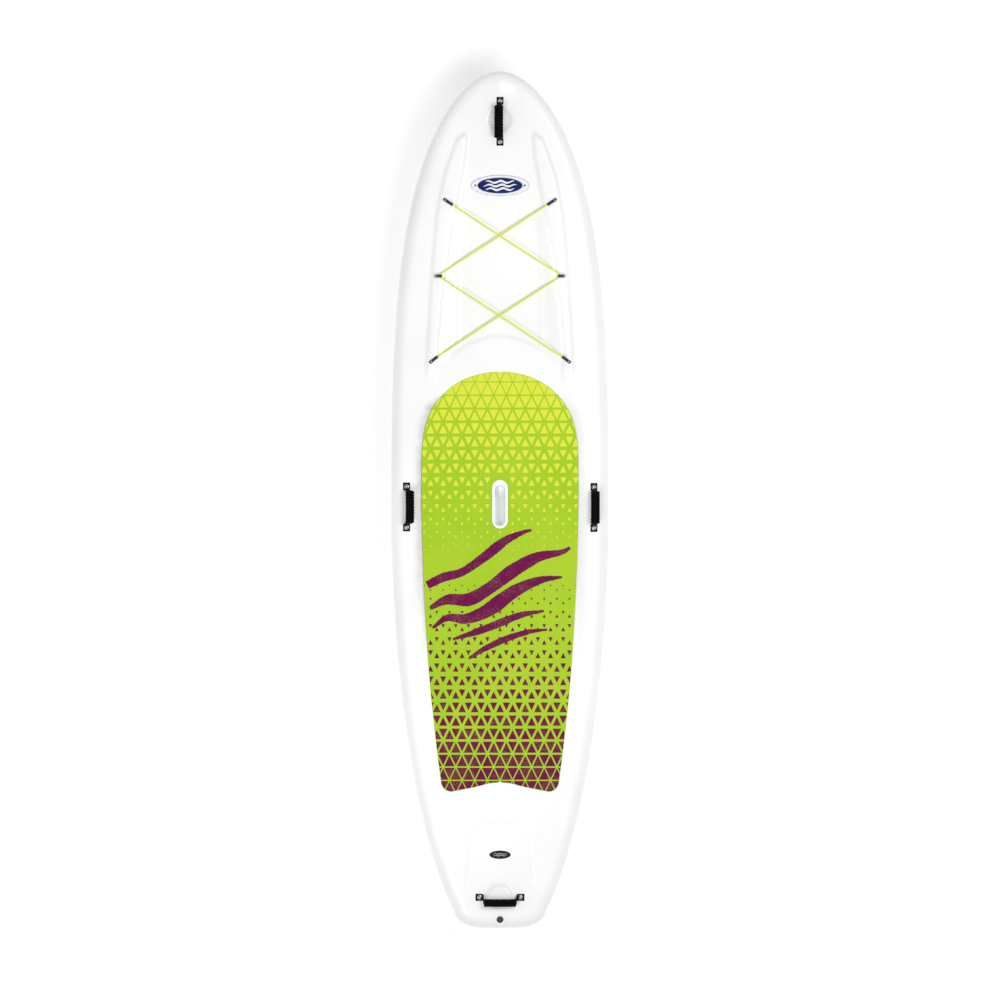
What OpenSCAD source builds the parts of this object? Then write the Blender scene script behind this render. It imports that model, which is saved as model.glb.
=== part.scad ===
// Stand up paddleboard, a moulded all-round board with deck pad, carry gear, bungee and centre fin.
// X is the width, +Y points to the nose, +Z is up. The origin is on the flat underside, amidships.
// All sizes are in millimetres.

/* [Board] */
// Overall length
board_l = 3200; // [3100:10:3300]
// Widest beam
board_w = 814; // [780:2:840]
// Height of the flat deck above the flat underside
deck_z = 132; // [125:1:145]
// Rise of the underside at the nose tip
hull_nose_rise = 140; // [120:1:150]
// Rise of the underside at the tail
hull_tail_rise = 35; // [25:1:45]
// Rise of the deck at the nose tip
deck_nose_rise = 60; // [50:1:75]
// Thickness of the moulded shells
wall = 7; // [6:0.5:9]

/* [Deck pad] */
// Y of the pad's front tip
pad_front = 479; // [460:1:490]
// Y of the pad's rear edge at its corners
pad_rear = -1090; // [-1100:1:-1070]
// Thickness of the mat
pad_t = 5; // [3:0.5:7]
// Depth of the recess it lies in
recess_t = 4; // [3:0.5:4]

/* [Carry handles] */
// Distance between the two screws of a strap handle
screw_pitch = 152; // [150:1:160]
// Width of the webbing
webbing_w = 26; // [24:1:30]
// Height of the grip's centre above the hinge line
grip_r = 34; // [32:1:38]
// Length of the rubber grip
grip_l = 118; // [110:1:118]

/* [Bungee] */
// Diameter of the elastic cord
cord_d = 6; // [5:0.5:6]
// Height of the bow ridges that carry the fittings
ridge_h = 9; // [7:0.5:12]

/* [Fin] */
// Depth of the blade below the board
fin_depth = 215; // [180:5:230]
// Length of the fin's base
fin_base = 160; // [150:1:165]
// Y of the middle of the fin box
fin_box_y = -1260; // [-1280:5:-1240]

/* [Hidden] */
$fn = 48;
eps = 0.01;
gap = 0.1;          // gap between a fitting and the curved deck below it

// Outline of the board: two superellipse runs, then elliptic tail corners and a straight tail edge.
half_l = board_l / 2;
half_w = board_w / 2;
bow_run = 1800;     // length over which the bow outline narrows
stern_start = -50;  // Y where the stern outline starts to narrow
stern_run = 1650;
corner_y = 60 - half_l;
corner_x = 60;
corner_rx = 110;
corner_ry = 60;
bow_rows = 22;
stern_rows = 18;
corner_rows = 6;

function half_width(y) =
    y > stern_start
    ? half_w * pow(max(0, 1 - pow(max(0, y - half_l + bow_run) / bow_run, 3.6)), 0.55)
    : half_w * pow(max(0, 1 - pow((stern_start - y) / stern_run, 1.9)), 0.5);

// The right half of the outline, from the nose tip to the middle of the tail.
right_side = concat(
    [for (i = [0:bow_rows])
        let (y = half_l - (half_l - stern_start) * (1 - cos(90 * i / bow_rows))) [half_width(y), y]],
    [for (i = [1:stern_rows])
        let (y = stern_start + (corner_y - stern_start) * i / stern_rows) [half_width(y), y]],
    [for (i = [1:corner_rows])
        let (a = 90 * i / corner_rows) [corner_x + corner_rx * cos(a), corner_y - corner_ry * sin(a)]],
    [[0, -half_l]]);
last = len(right_side) - 1;
outline = concat(right_side, [for (i = [last - 1:-1:1]) [-right_side[i][0], right_side[i][1]]]);
ring_n = len(outline);
spine_nose = 1450;
spine_tail = -1450;

// Heights along the board.
hull_nose_start = 350;
hull_tail_start = -650;
deck_nose_start = 500;
seam_share = 0.45;  // height of the rail's widest line, as a share of the thickness

function hull_z(y) =
    y > hull_nose_start ? hull_nose_rise * pow((y - hull_nose_start) / (half_l - hull_nose_start), 2.3)
    : y < hull_tail_start ? hull_tail_rise * pow((hull_tail_start - y) / (half_l + hull_tail_start), 2)
    : 0;
deck_curve = deck_nose_rise / pow(half_l - deck_nose_start, 2);
function deck_top(y) = deck_z + deck_curve * pow(max(0, y - deck_nose_start), 2);
function deck_tilt(y) = atan(2 * deck_curve * max(0, y - deck_nose_start));
function seam_z(y) = hull_z(y) + seam_share * (deck_top(y) - hull_z(y));

// A quarter superellipse: 0 at the rail's widest line, 1 where the rail meets the flat.
function rail_rise(t) = pow(1 - pow(1 - min(1, t), 2.2), 1 / 2.2);

// A point of the outline moved inward towards the board's spine by the distance d.
function inward(p, d) =
    let (s = [0, min(spine_nose, max(spine_tail, p[1]))], away = norm(p - s))
    p + (s - p) * d / away;

// One ring of points at distance d inside the outline, rise being its share of the rail's height.
function deck_ring(d, rise, skin) =
    [for (p = outline) let (q = inward(p, d), z0 = seam_z(p[1]))
        [q[0], q[1], z0 + (deck_top(q[1]) - skin - z0) * rise]];
function hull_ring(d, rise, skin) =
    [for (p = outline) let (q = inward(p, d), z0 = seam_z(p[1]))
        [q[0], q[1], z0 - (z0 - skin - hull_z(q[1])) * rise]];

deck_rail = 50;     // plan width of the rounded rail above the seam
hull_rail = 88;     // and below it
rail_steps = [0, 0.03, 0.1, 0.2, 0.34, 0.5, 0.7, 1];

// Faces between two rings, and the rows that close the last ring across the board.
function flip(f, turned) = turned ? [for (i = [len(f) - 1:-1:0]) f[i]] : f;
function band(a, b, turned) =
    [for (k = [0:ring_n - 1]) let (n = (k + 1) % ring_n)
        for (f = [[a + k, b + k, b + n], [a + k, b + n, a + n]]) flip(f, turned)];
function rows(a, turned) = concat(
    [flip([a, a + ring_n - 1, a + 1], turned), flip([a + last, a + last - 1, a + last + 1], turned)],
    [for (k = [1:last - 2]) let (p = a + k, q = a + k + 1, r = a + ring_n - k - 1, s = a + ring_n - k)
        for (f = [[p, s, r], [p, r, q]]) flip(f, turned)]);

// A closed shell from outer and inner rings that both start at the seam.
module ring_shell(outer, inner, turned) {
    rings = concat(outer, inner);
    n = len(outer);
    faces = concat(
        [for (j = [0:n - 2]) for (f = band(j * ring_n, (j + 1) * ring_n, turned)) f],
        rows((n - 1) * ring_n, turned),
        band(0, n * ring_n, !turned),
        [for (j = [n:2 * n - 2]) for (f = band(j * ring_n, (j + 1) * ring_n, !turned)) f],
        rows((2 * n - 1) * ring_n, !turned));
    polyhedron(points = [for (r = rings) for (p = r) p], faces = faces);
}

// Places a fitting on the deck, tilted with it.
module on_deck(x, y, lift = 0) {
    translate([x, y, deck_top(y)]) rotate([deck_tilt(y), 0, 0]) translate([0, 0, lift]) children();
}

module stadium(w, l) {
    square([w, l - w], center = true);
    for (s = [-1, 1]) translate([0, s * (l - w) / 2]) circle(d = w);
}

module oval(w, l) { scale([w / 2, l / 2]) circle(r = 1); }

// Outline of the mat: a round front, long soft sides, round rear corners and a gull-shaped rear edge.
pad_half = 293;
pad_shoulder = 100;  // Y where the round front meets the sides
pad_side = [[pad_half, 0], [286, -274], [267, -627], [241, -892], [221, pad_rear + 40]];
arc_steps = 18;
corner_steps = 6;
function pad_front_arc(edge, to) = [for (i = [0:to]) let (a = 90 * i / arc_steps)
    [(pad_half + edge) * sin(a), pad_shoulder + (pad_front + edge - pad_shoulder) * pow(cos(a), 2 / 3)]];
function pad_corner(edge, from) = [for (i = [from:corner_steps]) let (a = 90 * i / corner_steps)
    [181 + (40 + edge) * cos(a), pad_rear + 40 - (40 + edge) * sin(a)]];
pad_right = concat(pad_front_arc(0, arc_steps), pad_side, pad_corner(0, 1),
                   [[90, pad_rear + 19], [0, pad_rear + 36]]);
function both_sides(half) = concat(half, [for (i = [len(half) - 1:-1:0]) [-half[i][0], half[i][1]]]);

// The recess follows the mat at the front and rear, and leaves a wide margin along its sides.
recess_edge = 2.5;  // margin around the mat where the recess follows it
recess_side = [[243, 390], [290, 330], [317, 250], [322, 150], [326, -200], [330, -400], [315, -560], [272, -645],
               [244, -892]];
recess_right = concat(pad_front_arc(recess_edge, arc_steps / 2), recess_side, pad_corner(recess_edge, 0),
                      [[90, pad_rear + 16], [0, pad_rear + 33]]);

// The ridge that runs aft from beside the badge, on one side of the bow.
ridge_points = [[131, 1368], [161, 1343], [208, 1212], [236, 1063], [252, 877], [264, 690], [273, 530],
                [277, 421], [238, 421], [232, 560], [222, 700], [199, 888], [180, 1000], [155, 1145],
                [130, 1275], [124, 1355]];
ridge_from = 421;
ridge_to = 1368;
ridge_steps = 24;

// The slot in the mat, and the cup below it.
carry_y = -16;
slot_w = 60;
slot_l = 183;
cup_w = 38;
cup_l = 155;
cup_depth = 52;
cup_wall = 3;
neck_depth = 20;
groove = 14;        // reach of the finger groove under the left edge
floor_z = deck_z - recess_t;

// Strap handles: [x, y, turn about Z, lean of the grip at rest].
nose_handle = [0, 1413, 90, -8];
left_handle = [-349, -26, 90, 22];
right_handle = [351, -28, 90, 8];
tail_handle = [0, -1484, 0, 36];
handles = [nose_handle, left_handle, right_handle, tail_handle];
tab_l = 26;
tab_t = 2.2;
washer_t = 1.2;
screw_r = 3;
head_r = 7;
insert_r = 5;
insert_l = 15;
hinge_h = 5;        // height of the hinge line above the deck
stub_r = 1.6;       // the tab's fold, on which the loop swings
stub_from = 57;
neck_r = 4;
leg_from = grip_l / 2 + 0.2;    // inner face of the swinging leg, clear of the grip
neck_to = 62.4;
grip_w = 34;
grip_t = 20;
shank_l = 14;

// Bungee fittings: the front, middle and rear rivets, on the right side.
front_rivet = [204, 1120];
mid_rivet = [239, 835];
rear_rivet = [257, 517];
post_x = 221;
post_r = 2.5;
post_y = 838;
cord_h = 5.4;       // height of the cord's centre above a ridge
cross_h = 3.3;      // how far the upper cord passes above the straight line at a crossing
ferrule_r = 5.3;
ferrule_l = 32;
cord_r = cord_d / 2;
function ridge_top(y) = deck_top(y) + ridge_h;
bend_r = post_r + cord_r + 2 * gap;
front_start = [177, 1102];
rear_start = [233, 535];
cord_in = 7;        // how far a cord's end goes into its ferrule
function cord_end(start, rivet) =
    let (p = start + (rivet - start) * cord_in / norm(rivet - start)) [-p[0], p[1], ridge_top(p[1]) + cord_h];
// The point of the straight line from a to b where it passes x.
function passing(a, b, x) = a + (b - a) * (x - a[0]) / (b[0] - a[0]);
// Route of one cord: from the left bow to the right middle, around the post there, and back to the left.
bend_angles = [57, 30, 0, -30, -57];
near_cross = [[40, 0.2], [0, 1], [-40, 0.2]];
bend_z = ridge_top(post_y) + cord_h;
function route(up) =
    let (a = cord_end(front_start, front_rivet), b = cord_end(rear_start, rear_rivet),
         m = [post_x + bend_r, post_y, bend_z])
    concat([a],
        [for (c = near_cross) passing(a, m, -c[0]) + [0, 0, up * c[1] * cross_h]],
        [for (t = bend_angles) [post_x + bend_r * cos(t), post_y + bend_r * sin(t), bend_z]],
        [for (c = near_cross) passing(m, b, c[0]) - [0, 0, up * c[1] * cross_h]],
        [b]);

// Badge, tail label and drain.
badge_y = 1174;
badge_w = 214;
badge_l = 70;
badge_t = 3;
badge_gap = 0.3;    // the flat badge spans the deck's long curve
inlay_w = 166;
inlay_l = 57;
inlay_t = 1;
pin_x = 92;
pin_r = 3.5;
label_y = -1325;
drain_y = -1567;
boss_r = 18;
boss_h = 1.5;
bush_r = 10;
bush_l = 16;
plug_r = 12.5;
plug_h = 4;
plug_shank_r = 7;
seal_t = 1.5;
plug_marks = [279, -624];
mark_r = 3.5;

// Fin box and fin, in a frame that is tilted with the tail's underside.
fin_tilt = -atan(2 * hull_tail_rise * (hull_tail_start - fin_box_y) / pow(half_l + hull_tail_start, 2));
box_w = 26;
box_l = 250;
box_h = 28;
flange_w = 36;
flange_l = 262;
flange_t = 3;
slot_gap = 9.6;
slot_run = 236;
slot_h = 24;
track_w = 16;
track_z = 9;
track_h = 5.6;
fin_t = 9.2;
fin_y = -18;        // the fin's middle, aft of the box's middle
pin_z = track_z + track_h / 2;
cross_pin_r = 2.5;
cross_pin_y = fin_y - fin_base / 2 + 14;
screw_tab_y = fin_y + fin_base / 2 + 11;
fin_screw_r = 2.25;

module in_fin_frame() {
    translate([0, fin_box_y, hull_z(fin_box_y)]) rotate([fin_tilt, 0, 0]) children();
}

module ridge(side) {
    intersection() {
        scale([side, 1, 1]) linear_extrude(260) polygon(ridge_points);
        rotate([90, 0, 90]) translate([0, 0, -half_w]) linear_extrude(board_w)
            polygon(concat(
                [for (i = [0:ridge_steps]) let (y = ridge_from + (ridge_to - ridge_from) * i / ridge_steps)
                    [y, ridge_top(y)]],
                [for (i = [ridge_steps:-1:0]) let (y = ridge_from + (ridge_to - ridge_from) * i / ridge_steps)
                    [y, deck_top(y) - wall / 2]]));
    }
}

module at_handle_screws(h) {
    on_deck(h[0], h[1]) rotate([0, 0, h[2]]) for (s = [-1, 1]) translate([s * screw_pitch / 2, 0, 0])
        children();
}

module at_rivets(lift) {
    for (s = [-1, 1]) for (p = [front_rivet, mid_rivet, rear_rivet]) on_deck(s * p[0], p[1], ridge_h + lift)
        children();
}

module deck_shell() {
    color("white") difference() {
        union() {
            ring_shell(
                [for (t = rail_steps) deck_ring(deck_rail * t, rail_rise(t), 0)],
                [for (t = rail_steps) deck_ring(wall + (deck_rail - wall) * t, rail_rise(t), wall)],
                true);
            ridge(1);
            ridge(-1);
            translate([0, drain_y, deck_z - 16]) cylinder(r = boss_r, h = 16 + boss_h);
        }
        translate([0, 0, floor_z]) linear_extrude(recess_t + 1) polygon(both_sides(recess_right));
        translate([0, carry_y, floor_z - wall]) linear_extrude(wall + 1)
            stadium(cup_w + 2 * cup_wall + 0.4, cup_l + 2 * cup_wall + 0.4);
        for (h = handles) at_handle_screws(h) translate([0, 0, -insert_l])
            cylinder(r = insert_r, h = insert_l + 1);
        at_handle_screws(nose_handle) translate([-tab_l / 2 - 3, -webbing_w / 2 - 1, 0])
            cube([tab_l + 6, webbing_w + 2, 3]);
        at_rivets(-8) cylinder(r = 2.1, h = 9);
        for (s = [-1, 1]) {
            on_deck(s * pin_x, badge_y, -6) cylinder(r = pin_r, h = 8);
            translate([s * plug_marks[0], plug_marks[1], floor_z - 6]) cylinder(r = mark_r, h = 8);
        }
        translate([0, drain_y, deck_z - 17]) cylinder(r = bush_r, h = 20);
    }
}

module hull_shell() {
    color("gainsboro") difference() {
        ring_shell(
            [for (t = rail_steps) hull_ring(hull_rail * t, rail_rise(t), -0.4 * t)],
            [for (t = rail_steps) hull_ring(wall + (hull_rail - wall) * t, rail_rise(t), wall)],
            false);
        translate([-half_w, -half_l, -10]) cube([board_w, board_l, 10]);
        in_fin_frame() {
            translate([-box_w / 2 - 0.1, -box_l / 2 - 0.1, -5]) cube([box_w + 0.2, box_l + 0.2, 30]);
            translate([-flange_w / 2 - 0.1, -flange_l / 2 - 0.1, -5])
                cube([flange_w + 0.2, flange_l + 0.2, flange_t + 5]);
        }
    }
}

// The foam blocks that carry the deck, clear of the carry cup, the inserts and the fin box.
foam_base = 14;
foam_top = 108;
module foam(points, base, top) {
    color("lightyellow") translate([0, 0, base]) linear_extrude(top - base) polygon(points);
}
module foam_left() {
    foam([[-60, 440], [-290, 440], [-300, -500], [-240, -840], [-60, -840]], foam_base, foam_top);
}
module foam_right() {
    foam([[60, 440], [60, -840], [240, -840], [300, -500], [290, 440]], foam_base, foam_top);
}
module foam_nose() { foam([[-250, 460], [250, 460], [190, 1000], [-190, 1000]], 68, foam_top + 8); }
module foam_tail() { foam([[-230, -860], [230, -860], [200, -1100], [-200, -1100]], 26, foam_top); }

module deck_pad() {
    color("yellowgreen") translate([0, 0, floor_z]) difference() {
        linear_extrude(pad_t) polygon(both_sides(pad_right));
        translate([0, carry_y, -1]) linear_extrude(pad_t + 2) stadium(slot_w, slot_l);
    }
}

module carry_cup() {
    color("white") translate([0, carry_y, floor_z]) difference() {
        union() {
            linear_extrude(2) stadium(slot_w - 0.6, slot_l - 0.6);
            translate([0, 0, -cup_depth]) linear_extrude(cup_depth + 1)
                stadium(cup_w + 2 * cup_wall, cup_l + 2 * cup_wall);
            translate([-groove - cup_w / 2 - cup_wall, -cup_l / 2 + 20, -cup_depth])
                cube([groove + cup_w / 2, cup_l - 40, cup_depth - neck_depth + cup_wall]);
        }
        translate([0, 0, -cup_depth + cup_wall]) linear_extrude(cup_depth + 3) stadium(cup_w, cup_l);
        translate([-groove - cup_w / 2, -cup_l / 2 + 20 + cup_wall, -cup_depth + cup_wall])
            cube([groove + cup_w / 2, cup_l - 40 - 2 * cup_wall, cup_depth - neck_depth - cup_wall]);
    }
}

module deck_plugs() {
    color("dimgray") for (s = [-1, 1]) translate([s * plug_marks[0], plug_marks[1], floor_z - 5.5])
        cylinder(r = mark_r - 0.02, h = 6.3);
}

// The fixed end of a strap, screwed down, with the fold that the loop swings on.
module strap_tabs(h) {
    color("black") on_deck(h[0], h[1]) rotate([0, 0, h[2]]) for (s = [-1, 1]) scale([s, 1, 1]) {
        difference() {
            translate([screw_pitch / 2 - tab_l / 2, -webbing_w / 2, 0]) cube([tab_l, webbing_w, tab_t]);
            translate([screw_pitch / 2, 0, -1]) cylinder(r = screw_r + 0.2, h = 5);
        }
        translate([neck_to + 0.5, -3, 0]) cube([2.5, 6, hinge_h + stub_r]);
        translate([stub_from, 0, hinge_h]) rotate([0, 90, 0]) cylinder(r = stub_r, h = neck_to + 1 - stub_from);
    }
}

// The swinging part of a strap, in the frame of its hinge line, standing upright.
module loop_upright() {
    for (s = [-1, 1]) scale([s, 1, 1]) difference() {
        hull() {
            translate([leg_from, 0, 0]) rotate([0, 90, 0])
                cylinder(r = neck_r, h = neck_to - leg_from, $fn = 32);
            translate([leg_from, -webbing_w / 2, grip_r - 1.3]) cube([2.5, webbing_w, 2.6]);
        }
        translate([stub_from - 3, 0, 0]) rotate([0, 90, 0]) cylinder(r = stub_r + 0.05, h = 12);
    }
    translate([-grip_l / 2 - 1, -webbing_w / 2, grip_r - 1.3]) cube([grip_l + 2, webbing_w, 2.6]);
}

module swung(h) {
    on_deck(h[0], h[1], hinge_h) rotate([0, 0, h[2]]) rotate([h[3], 0, 0]) children();
}
module strap_loop(h) { color("black") swung(h) loop_upright(); }
module grip(h) {
    color("darkslategray") swung(h) translate([-grip_l / 2, 0, grip_r]) rotate([90, 0, 90])
        linear_extrude(grip_l)
        difference() {
            rotate(90) stadium(grip_t, grip_w);
            square([webbing_w + 0.6, 3.2], center = true);
        }
}
module washers(h) {
    color("silver") at_handle_screws(h) translate([0, 0, tab_t]) difference() {
        cylinder(r = head_r + 2, h = washer_t);
        translate([0, 0, -1]) cylinder(r = screw_r + 0.2, h = 4);
    }
}
module screws(h) {
    color("silver") at_handle_screws(h) {
        translate([0, 0, -shank_l]) cylinder(r = screw_r, h = shank_l + tab_t + washer_t + 1);
        translate([0, 0, tab_t + washer_t]) intersection() {
            cylinder(r = head_r, h = 4);
            translate([0, 0, -5]) sphere(r = 9);
        }
    }
}
module threaded_inserts() {
    color("goldenrod") for (h = handles) at_handle_screws(h) translate([0, 0, -insert_l]) difference() {
        cylinder(r = insert_r - 0.02, h = insert_l);
        translate([0, 0, 0.5]) cylinder(r = screw_r + 0.05, h = insert_l);
    }
}

module nose_strap_tabs() { strap_tabs(nose_handle); }
module nose_strap_loop() { strap_loop(nose_handle); }
module nose_grip() { grip(nose_handle); }
module nose_screws() { screws(nose_handle); }
module nose_washers() { washers(nose_handle); }
module left_strap_tabs() { strap_tabs(left_handle); }
module left_strap_loop() { strap_loop(left_handle); }
module left_grip() { grip(left_handle); }
module left_screws() { screws(left_handle); }
module left_washers() { washers(left_handle); }
module right_strap_tabs() { strap_tabs(right_handle); }
module right_strap_loop() { strap_loop(right_handle); }
module right_grip() { grip(right_handle); }
module right_screws() { screws(right_handle); }
module right_washers() { washers(right_handle); }
module tail_strap_tabs() { strap_tabs(tail_handle); }
module tail_strap_loop() { strap_loop(tail_handle); }
module tail_grip() { grip(tail_handle); }
module tail_screws() { screws(tail_handle); }
module tail_washers() { washers(tail_handle); }

// A round cord swept along a route, with a ring of sides across each point.
cord_sides = 10;
module cord(points) {
    n = len(points);
    function way(i) =
        let (v = points[min(n - 1, i + 1)] - points[max(0, i - 1)]) v / norm(v);
    function across(i) = let (v = cross(way(i), [0, 0, 1])) v / norm(v);
    rings = [for (i = [0:n - 1]) let (u = across(i), v = cross(way(i), u))
        for (k = [0:cord_sides - 1]) let (a = 360 * k / cord_sides)
            points[i] + cord_r * (cos(a) * u + sin(a) * v)];
    walls = [for (i = [0:n - 2]) for (k = [0:cord_sides - 1])
        let (a = i * cord_sides + k, b = i * cord_sides + (k + 1) % cord_sides)
            for (f = [[a, a + cord_sides, b + cord_sides], [a, b + cord_sides, b]]) f];
    ends = [[for (k = [0:cord_sides - 1]) k],
            [for (k = [cord_sides - 1:-1:0]) (n - 1) * cord_sides + k]];
    polyhedron(points = rings, faces = concat(walls, ends));
}
module bungee_cord_a() { color("greenyellow") cord(route(-1)); }
module bungee_cord_b() {
    color("greenyellow") cord([for (p = route(1)) [-p[0], p[1], p[2]]]);
}

// A crimped ferrule: a tube on the cord's end and a flat eye under the rivet.
module ferrule(rivet, start, eye_back) {
    run = start - rivet;
    on_deck(rivet[0], rivet[1], ridge_h + gap) rotate([0, 0, atan2(run[1], run[0])]) difference() {
        union() {
            translate([norm(run) - ferrule_l + eye_back, 0, cord_h]) rotate([0, 90, 0])
                cylinder(r = ferrule_r, h = ferrule_l - eye_back);
            translate([-2, -5, 0]) cube([18, 10, 4]);
            cylinder(r = 6, h = 4);
        }
        translate([0, 0, -1]) cylinder(r = 2.1, h = 20);
        translate([-12, -12, 4]) cube([19, 24, 20]);
        translate([norm(run) - 7.9, 0, cord_h - gap]) rotate([0, 90, 0]) cylinder(r = cord_r + 0.6, h = 20);
    }
}
module bungee_ferrules() {
    color("black") for (s = [-1, 1]) {
        ferrule([s * front_rivet[0], front_rivet[1]], [s * front_start[0], front_start[1]], 8);
        ferrule([s * rear_rivet[0], rear_rivet[1]], [s * rear_start[0], rear_start[1]], 8);
    }
}
// A pad eye: two plates, the post that the cord bends around, and a spacer under the rivet.
eye_t = 2;
module bungee_pad_eyes() {
    color("black") for (s = [-1, 1]) scale([s, 1, 1]) on_deck(0, mid_rivet[1], ridge_h + gap) difference() {
        union() {
            for (z = [0, 2 * cord_h - eye_t - gap]) translate([(mid_rivet[0] + post_x) / 2, 1.5, z])
                linear_extrude(eye_t) rotate(90) stadium(11, mid_rivet[0] - post_x + 11);
            translate([post_x, post_y - mid_rivet[1], 0]) cylinder(r = post_r, h = 2 * cord_h - gap);
            translate([mid_rivet[0], 0, 0]) cylinder(r = 5, h = 2 * cord_h - gap);
        }
        translate([mid_rivet[0], 0, -1]) cylinder(r = 2.1, h = 20);
    }
}
module rivet(h) {
    translate([0, 0, -7]) cylinder(r = 2, h = 7 + h);
    translate([0, 0, h]) intersection() {
        cylinder(r = 4.5, h = 3);
        translate([0, 0, -4]) sphere(r = 6);
    }
}
module bungee_rivets() {
    color("silver") for (s = [-1, 1]) {
        for (p = [front_rivet, rear_rivet]) on_deck(s * p[0], p[1], ridge_h + gap) rivet(4 + eps);
        on_deck(s * mid_rivet[0], mid_rivet[1], ridge_h + gap) rivet(2 * cord_h - gap + eps);
    }
}

module badge_plate() {
    color("white") on_deck(0, badge_y, badge_gap) difference() {
        linear_extrude(badge_t) oval(badge_w, badge_l);
        translate([0, 0, badge_t - inlay_t]) linear_extrude(inlay_t + 1) oval(inlay_w, inlay_l);
        for (s = [-1, 1]) translate([s * pin_x, 0, -1]) cylinder(r = 2.6, h = 6);
    }
}
module badge_inlay() {
    color("navy") on_deck(0, badge_y, badge_gap + badge_t - inlay_t) linear_extrude(inlay_t)
        oval(inlay_w - 0.4, inlay_l - 0.4);
}
module badge_pins() {
    color("dimgray") for (s = [-1, 1]) on_deck(s * pin_x, badge_y, badge_gap) {
        translate([0, 0, -5]) cylinder(r = 2.5, h = 5 + badge_t + eps);
        translate([0, 0, badge_t + eps]) cylinder(r = pin_r, h = 1.2);
    }
}
module tail_label() {
    color("black") translate([0, label_y, deck_z]) linear_extrude(0.8) oval(80, 31);
}

module drain_bush() {
    color("dimgray") translate([0, drain_y, deck_z + boss_h - bush_l]) difference() {
        cylinder(r = bush_r - 0.02, h = bush_l);
        translate([0, 0, 2]) cylinder(r = plug_shank_r + 0.05, h = bush_l);
    }
}
module drain_seal() {
    color("black") translate([0, drain_y, deck_z + boss_h]) difference() {
        cylinder(r = plug_r - 1.5, h = seal_t);
        translate([0, 0, -1]) cylinder(r = plug_shank_r + 0.05, h = 4);
    }
}
module drain_plug() {
    color("black") translate([0, drain_y, deck_z + boss_h + seal_t]) difference() {
        union() {
            cylinder(r = plug_r, h = plug_h);
            translate([0, 0, -12]) cylinder(r = plug_shank_r, h = 13);
        }
        translate([-9, -1.25, plug_h - 2.2]) cube([18, 2.5, 4]);
    }
}

module fin_box() {
    color("dimgray") in_fin_frame() difference() {
        union() {
            translate([-box_w / 2, -box_l / 2, 0]) cube([box_w, box_l, box_h]);
            translate([-flange_w / 2, -flange_l / 2, 0]) cube([flange_w, flange_l, flange_t]);
        }
        translate([-slot_gap / 2, -slot_run / 2, -1]) cube([slot_gap, slot_run, slot_h + 1]);
        translate([-track_w / 2, -slot_run / 2, track_z]) cube([track_w, slot_run, track_h]);
        translate([-track_w / 2, 88, -1]) cube([track_w, 18, track_z + 2]);
    }
}

// Side outline of the fin: leading edge, tip and trailing edge as smooth runs, in the frame's Y and Z.
function swept(a, b, c, n) = [for (i = [0:n]) let (t = i / n)
    (1 - t) * (1 - t) * a + 2 * t * (1 - t) * b + t * t * c];
fin_front = fin_y + fin_base / 2;
fin_back = fin_y - fin_base / 2;
fin_tip = [fin_back - 62, -fin_depth];
fin_side = concat(
    swept([fin_front, -1], [fin_front - 34, -0.72 * fin_depth], fin_tip + [22, 6], 12),
    swept(fin_tip + [12, 0], fin_tip + [-6, -4], fin_tip + [-12, 12], 4),
    swept(fin_tip + [-8, 30], [fin_back + 14, -0.52 * fin_depth], [fin_back + 22, -1], 12));
module fin() {
    color("black") in_fin_frame() difference() {
        union() {
            translate([-fin_t / 2, 0, 0]) rotate([90, 0, 90]) linear_extrude(fin_t) polygon(fin_side);
            translate([-fin_t / 2, fin_back, -1 - eps]) cube([fin_t, fin_base, 22]);
            translate([-fin_t / 2, fin_front - eps, 1]) cube([fin_t, 22, 6]);
        }
        translate([-fin_t, cross_pin_y, pin_z]) rotate([0, 90, 0]) cylinder(r = cross_pin_r, h = 2 * fin_t);
        translate([0, screw_tab_y, -2]) cylinder(r = fin_screw_r + 0.05, h = 14);
    }
}
module fin_cross_pin() {
    color("goldenrod") in_fin_frame() translate([-7.7, cross_pin_y, pin_z]) rotate([0, 90, 0])
        cylinder(r = cross_pin_r - 0.02, h = 15.4);
}
module fin_screw() {
    color("silver") in_fin_frame() translate([0, screw_tab_y, 0]) {
        translate([0, 0, -2]) cylinder(r = fin_screw_r, h = track_z + track_h - 0.4 + 2);
        translate([0, 0, -1.6]) cylinder(r = 4, h = 2.55);
    }
}
module fin_plate_nut() {
    color("goldenrod") in_fin_frame() translate([0, screw_tab_y, track_z + 0.8]) difference() {
        translate([-7.7, -7, 0]) cube([15.4, 14, 4]);
        translate([0, 0, -1]) cylinder(r = fin_screw_r + 0.05, h = 8);
    }
}

deck_shell();
hull_shell();
foam_left();
foam_right();
foam_nose();
foam_tail();
deck_pad();
carry_cup();
deck_plugs();
nose_strap_tabs();
nose_strap_loop();
nose_grip();
nose_screws();
nose_washers();
left_strap_tabs();
left_strap_loop();
left_grip();
left_screws();
left_washers();
right_strap_tabs();
right_strap_loop();
right_grip();
right_screws();
right_washers();
tail_strap_tabs();
tail_strap_loop();
tail_grip();
tail_screws();
tail_washers();
threaded_inserts();
bungee_cord_a();
bungee_cord_b();
bungee_ferrules();
bungee_pad_eyes();
bungee_rivets();
badge_plate();
badge_inlay();
badge_pins();
tail_label();
drain_bush();
drain_seal();
drain_plug();
fin_box();
fin();
fin_screw();
fin_plate_nut();
fin_cross_pin();
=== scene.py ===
"""Looks of the stand up paddleboard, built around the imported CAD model.

Lengths are in millimetres in this file, and mesh() turns them into metres. X is the width, +Y the nose, Z up.
"""
import math
import random

import bmesh
import bpy
import numpy as np
from mathutils import Matrix, Vector


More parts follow.
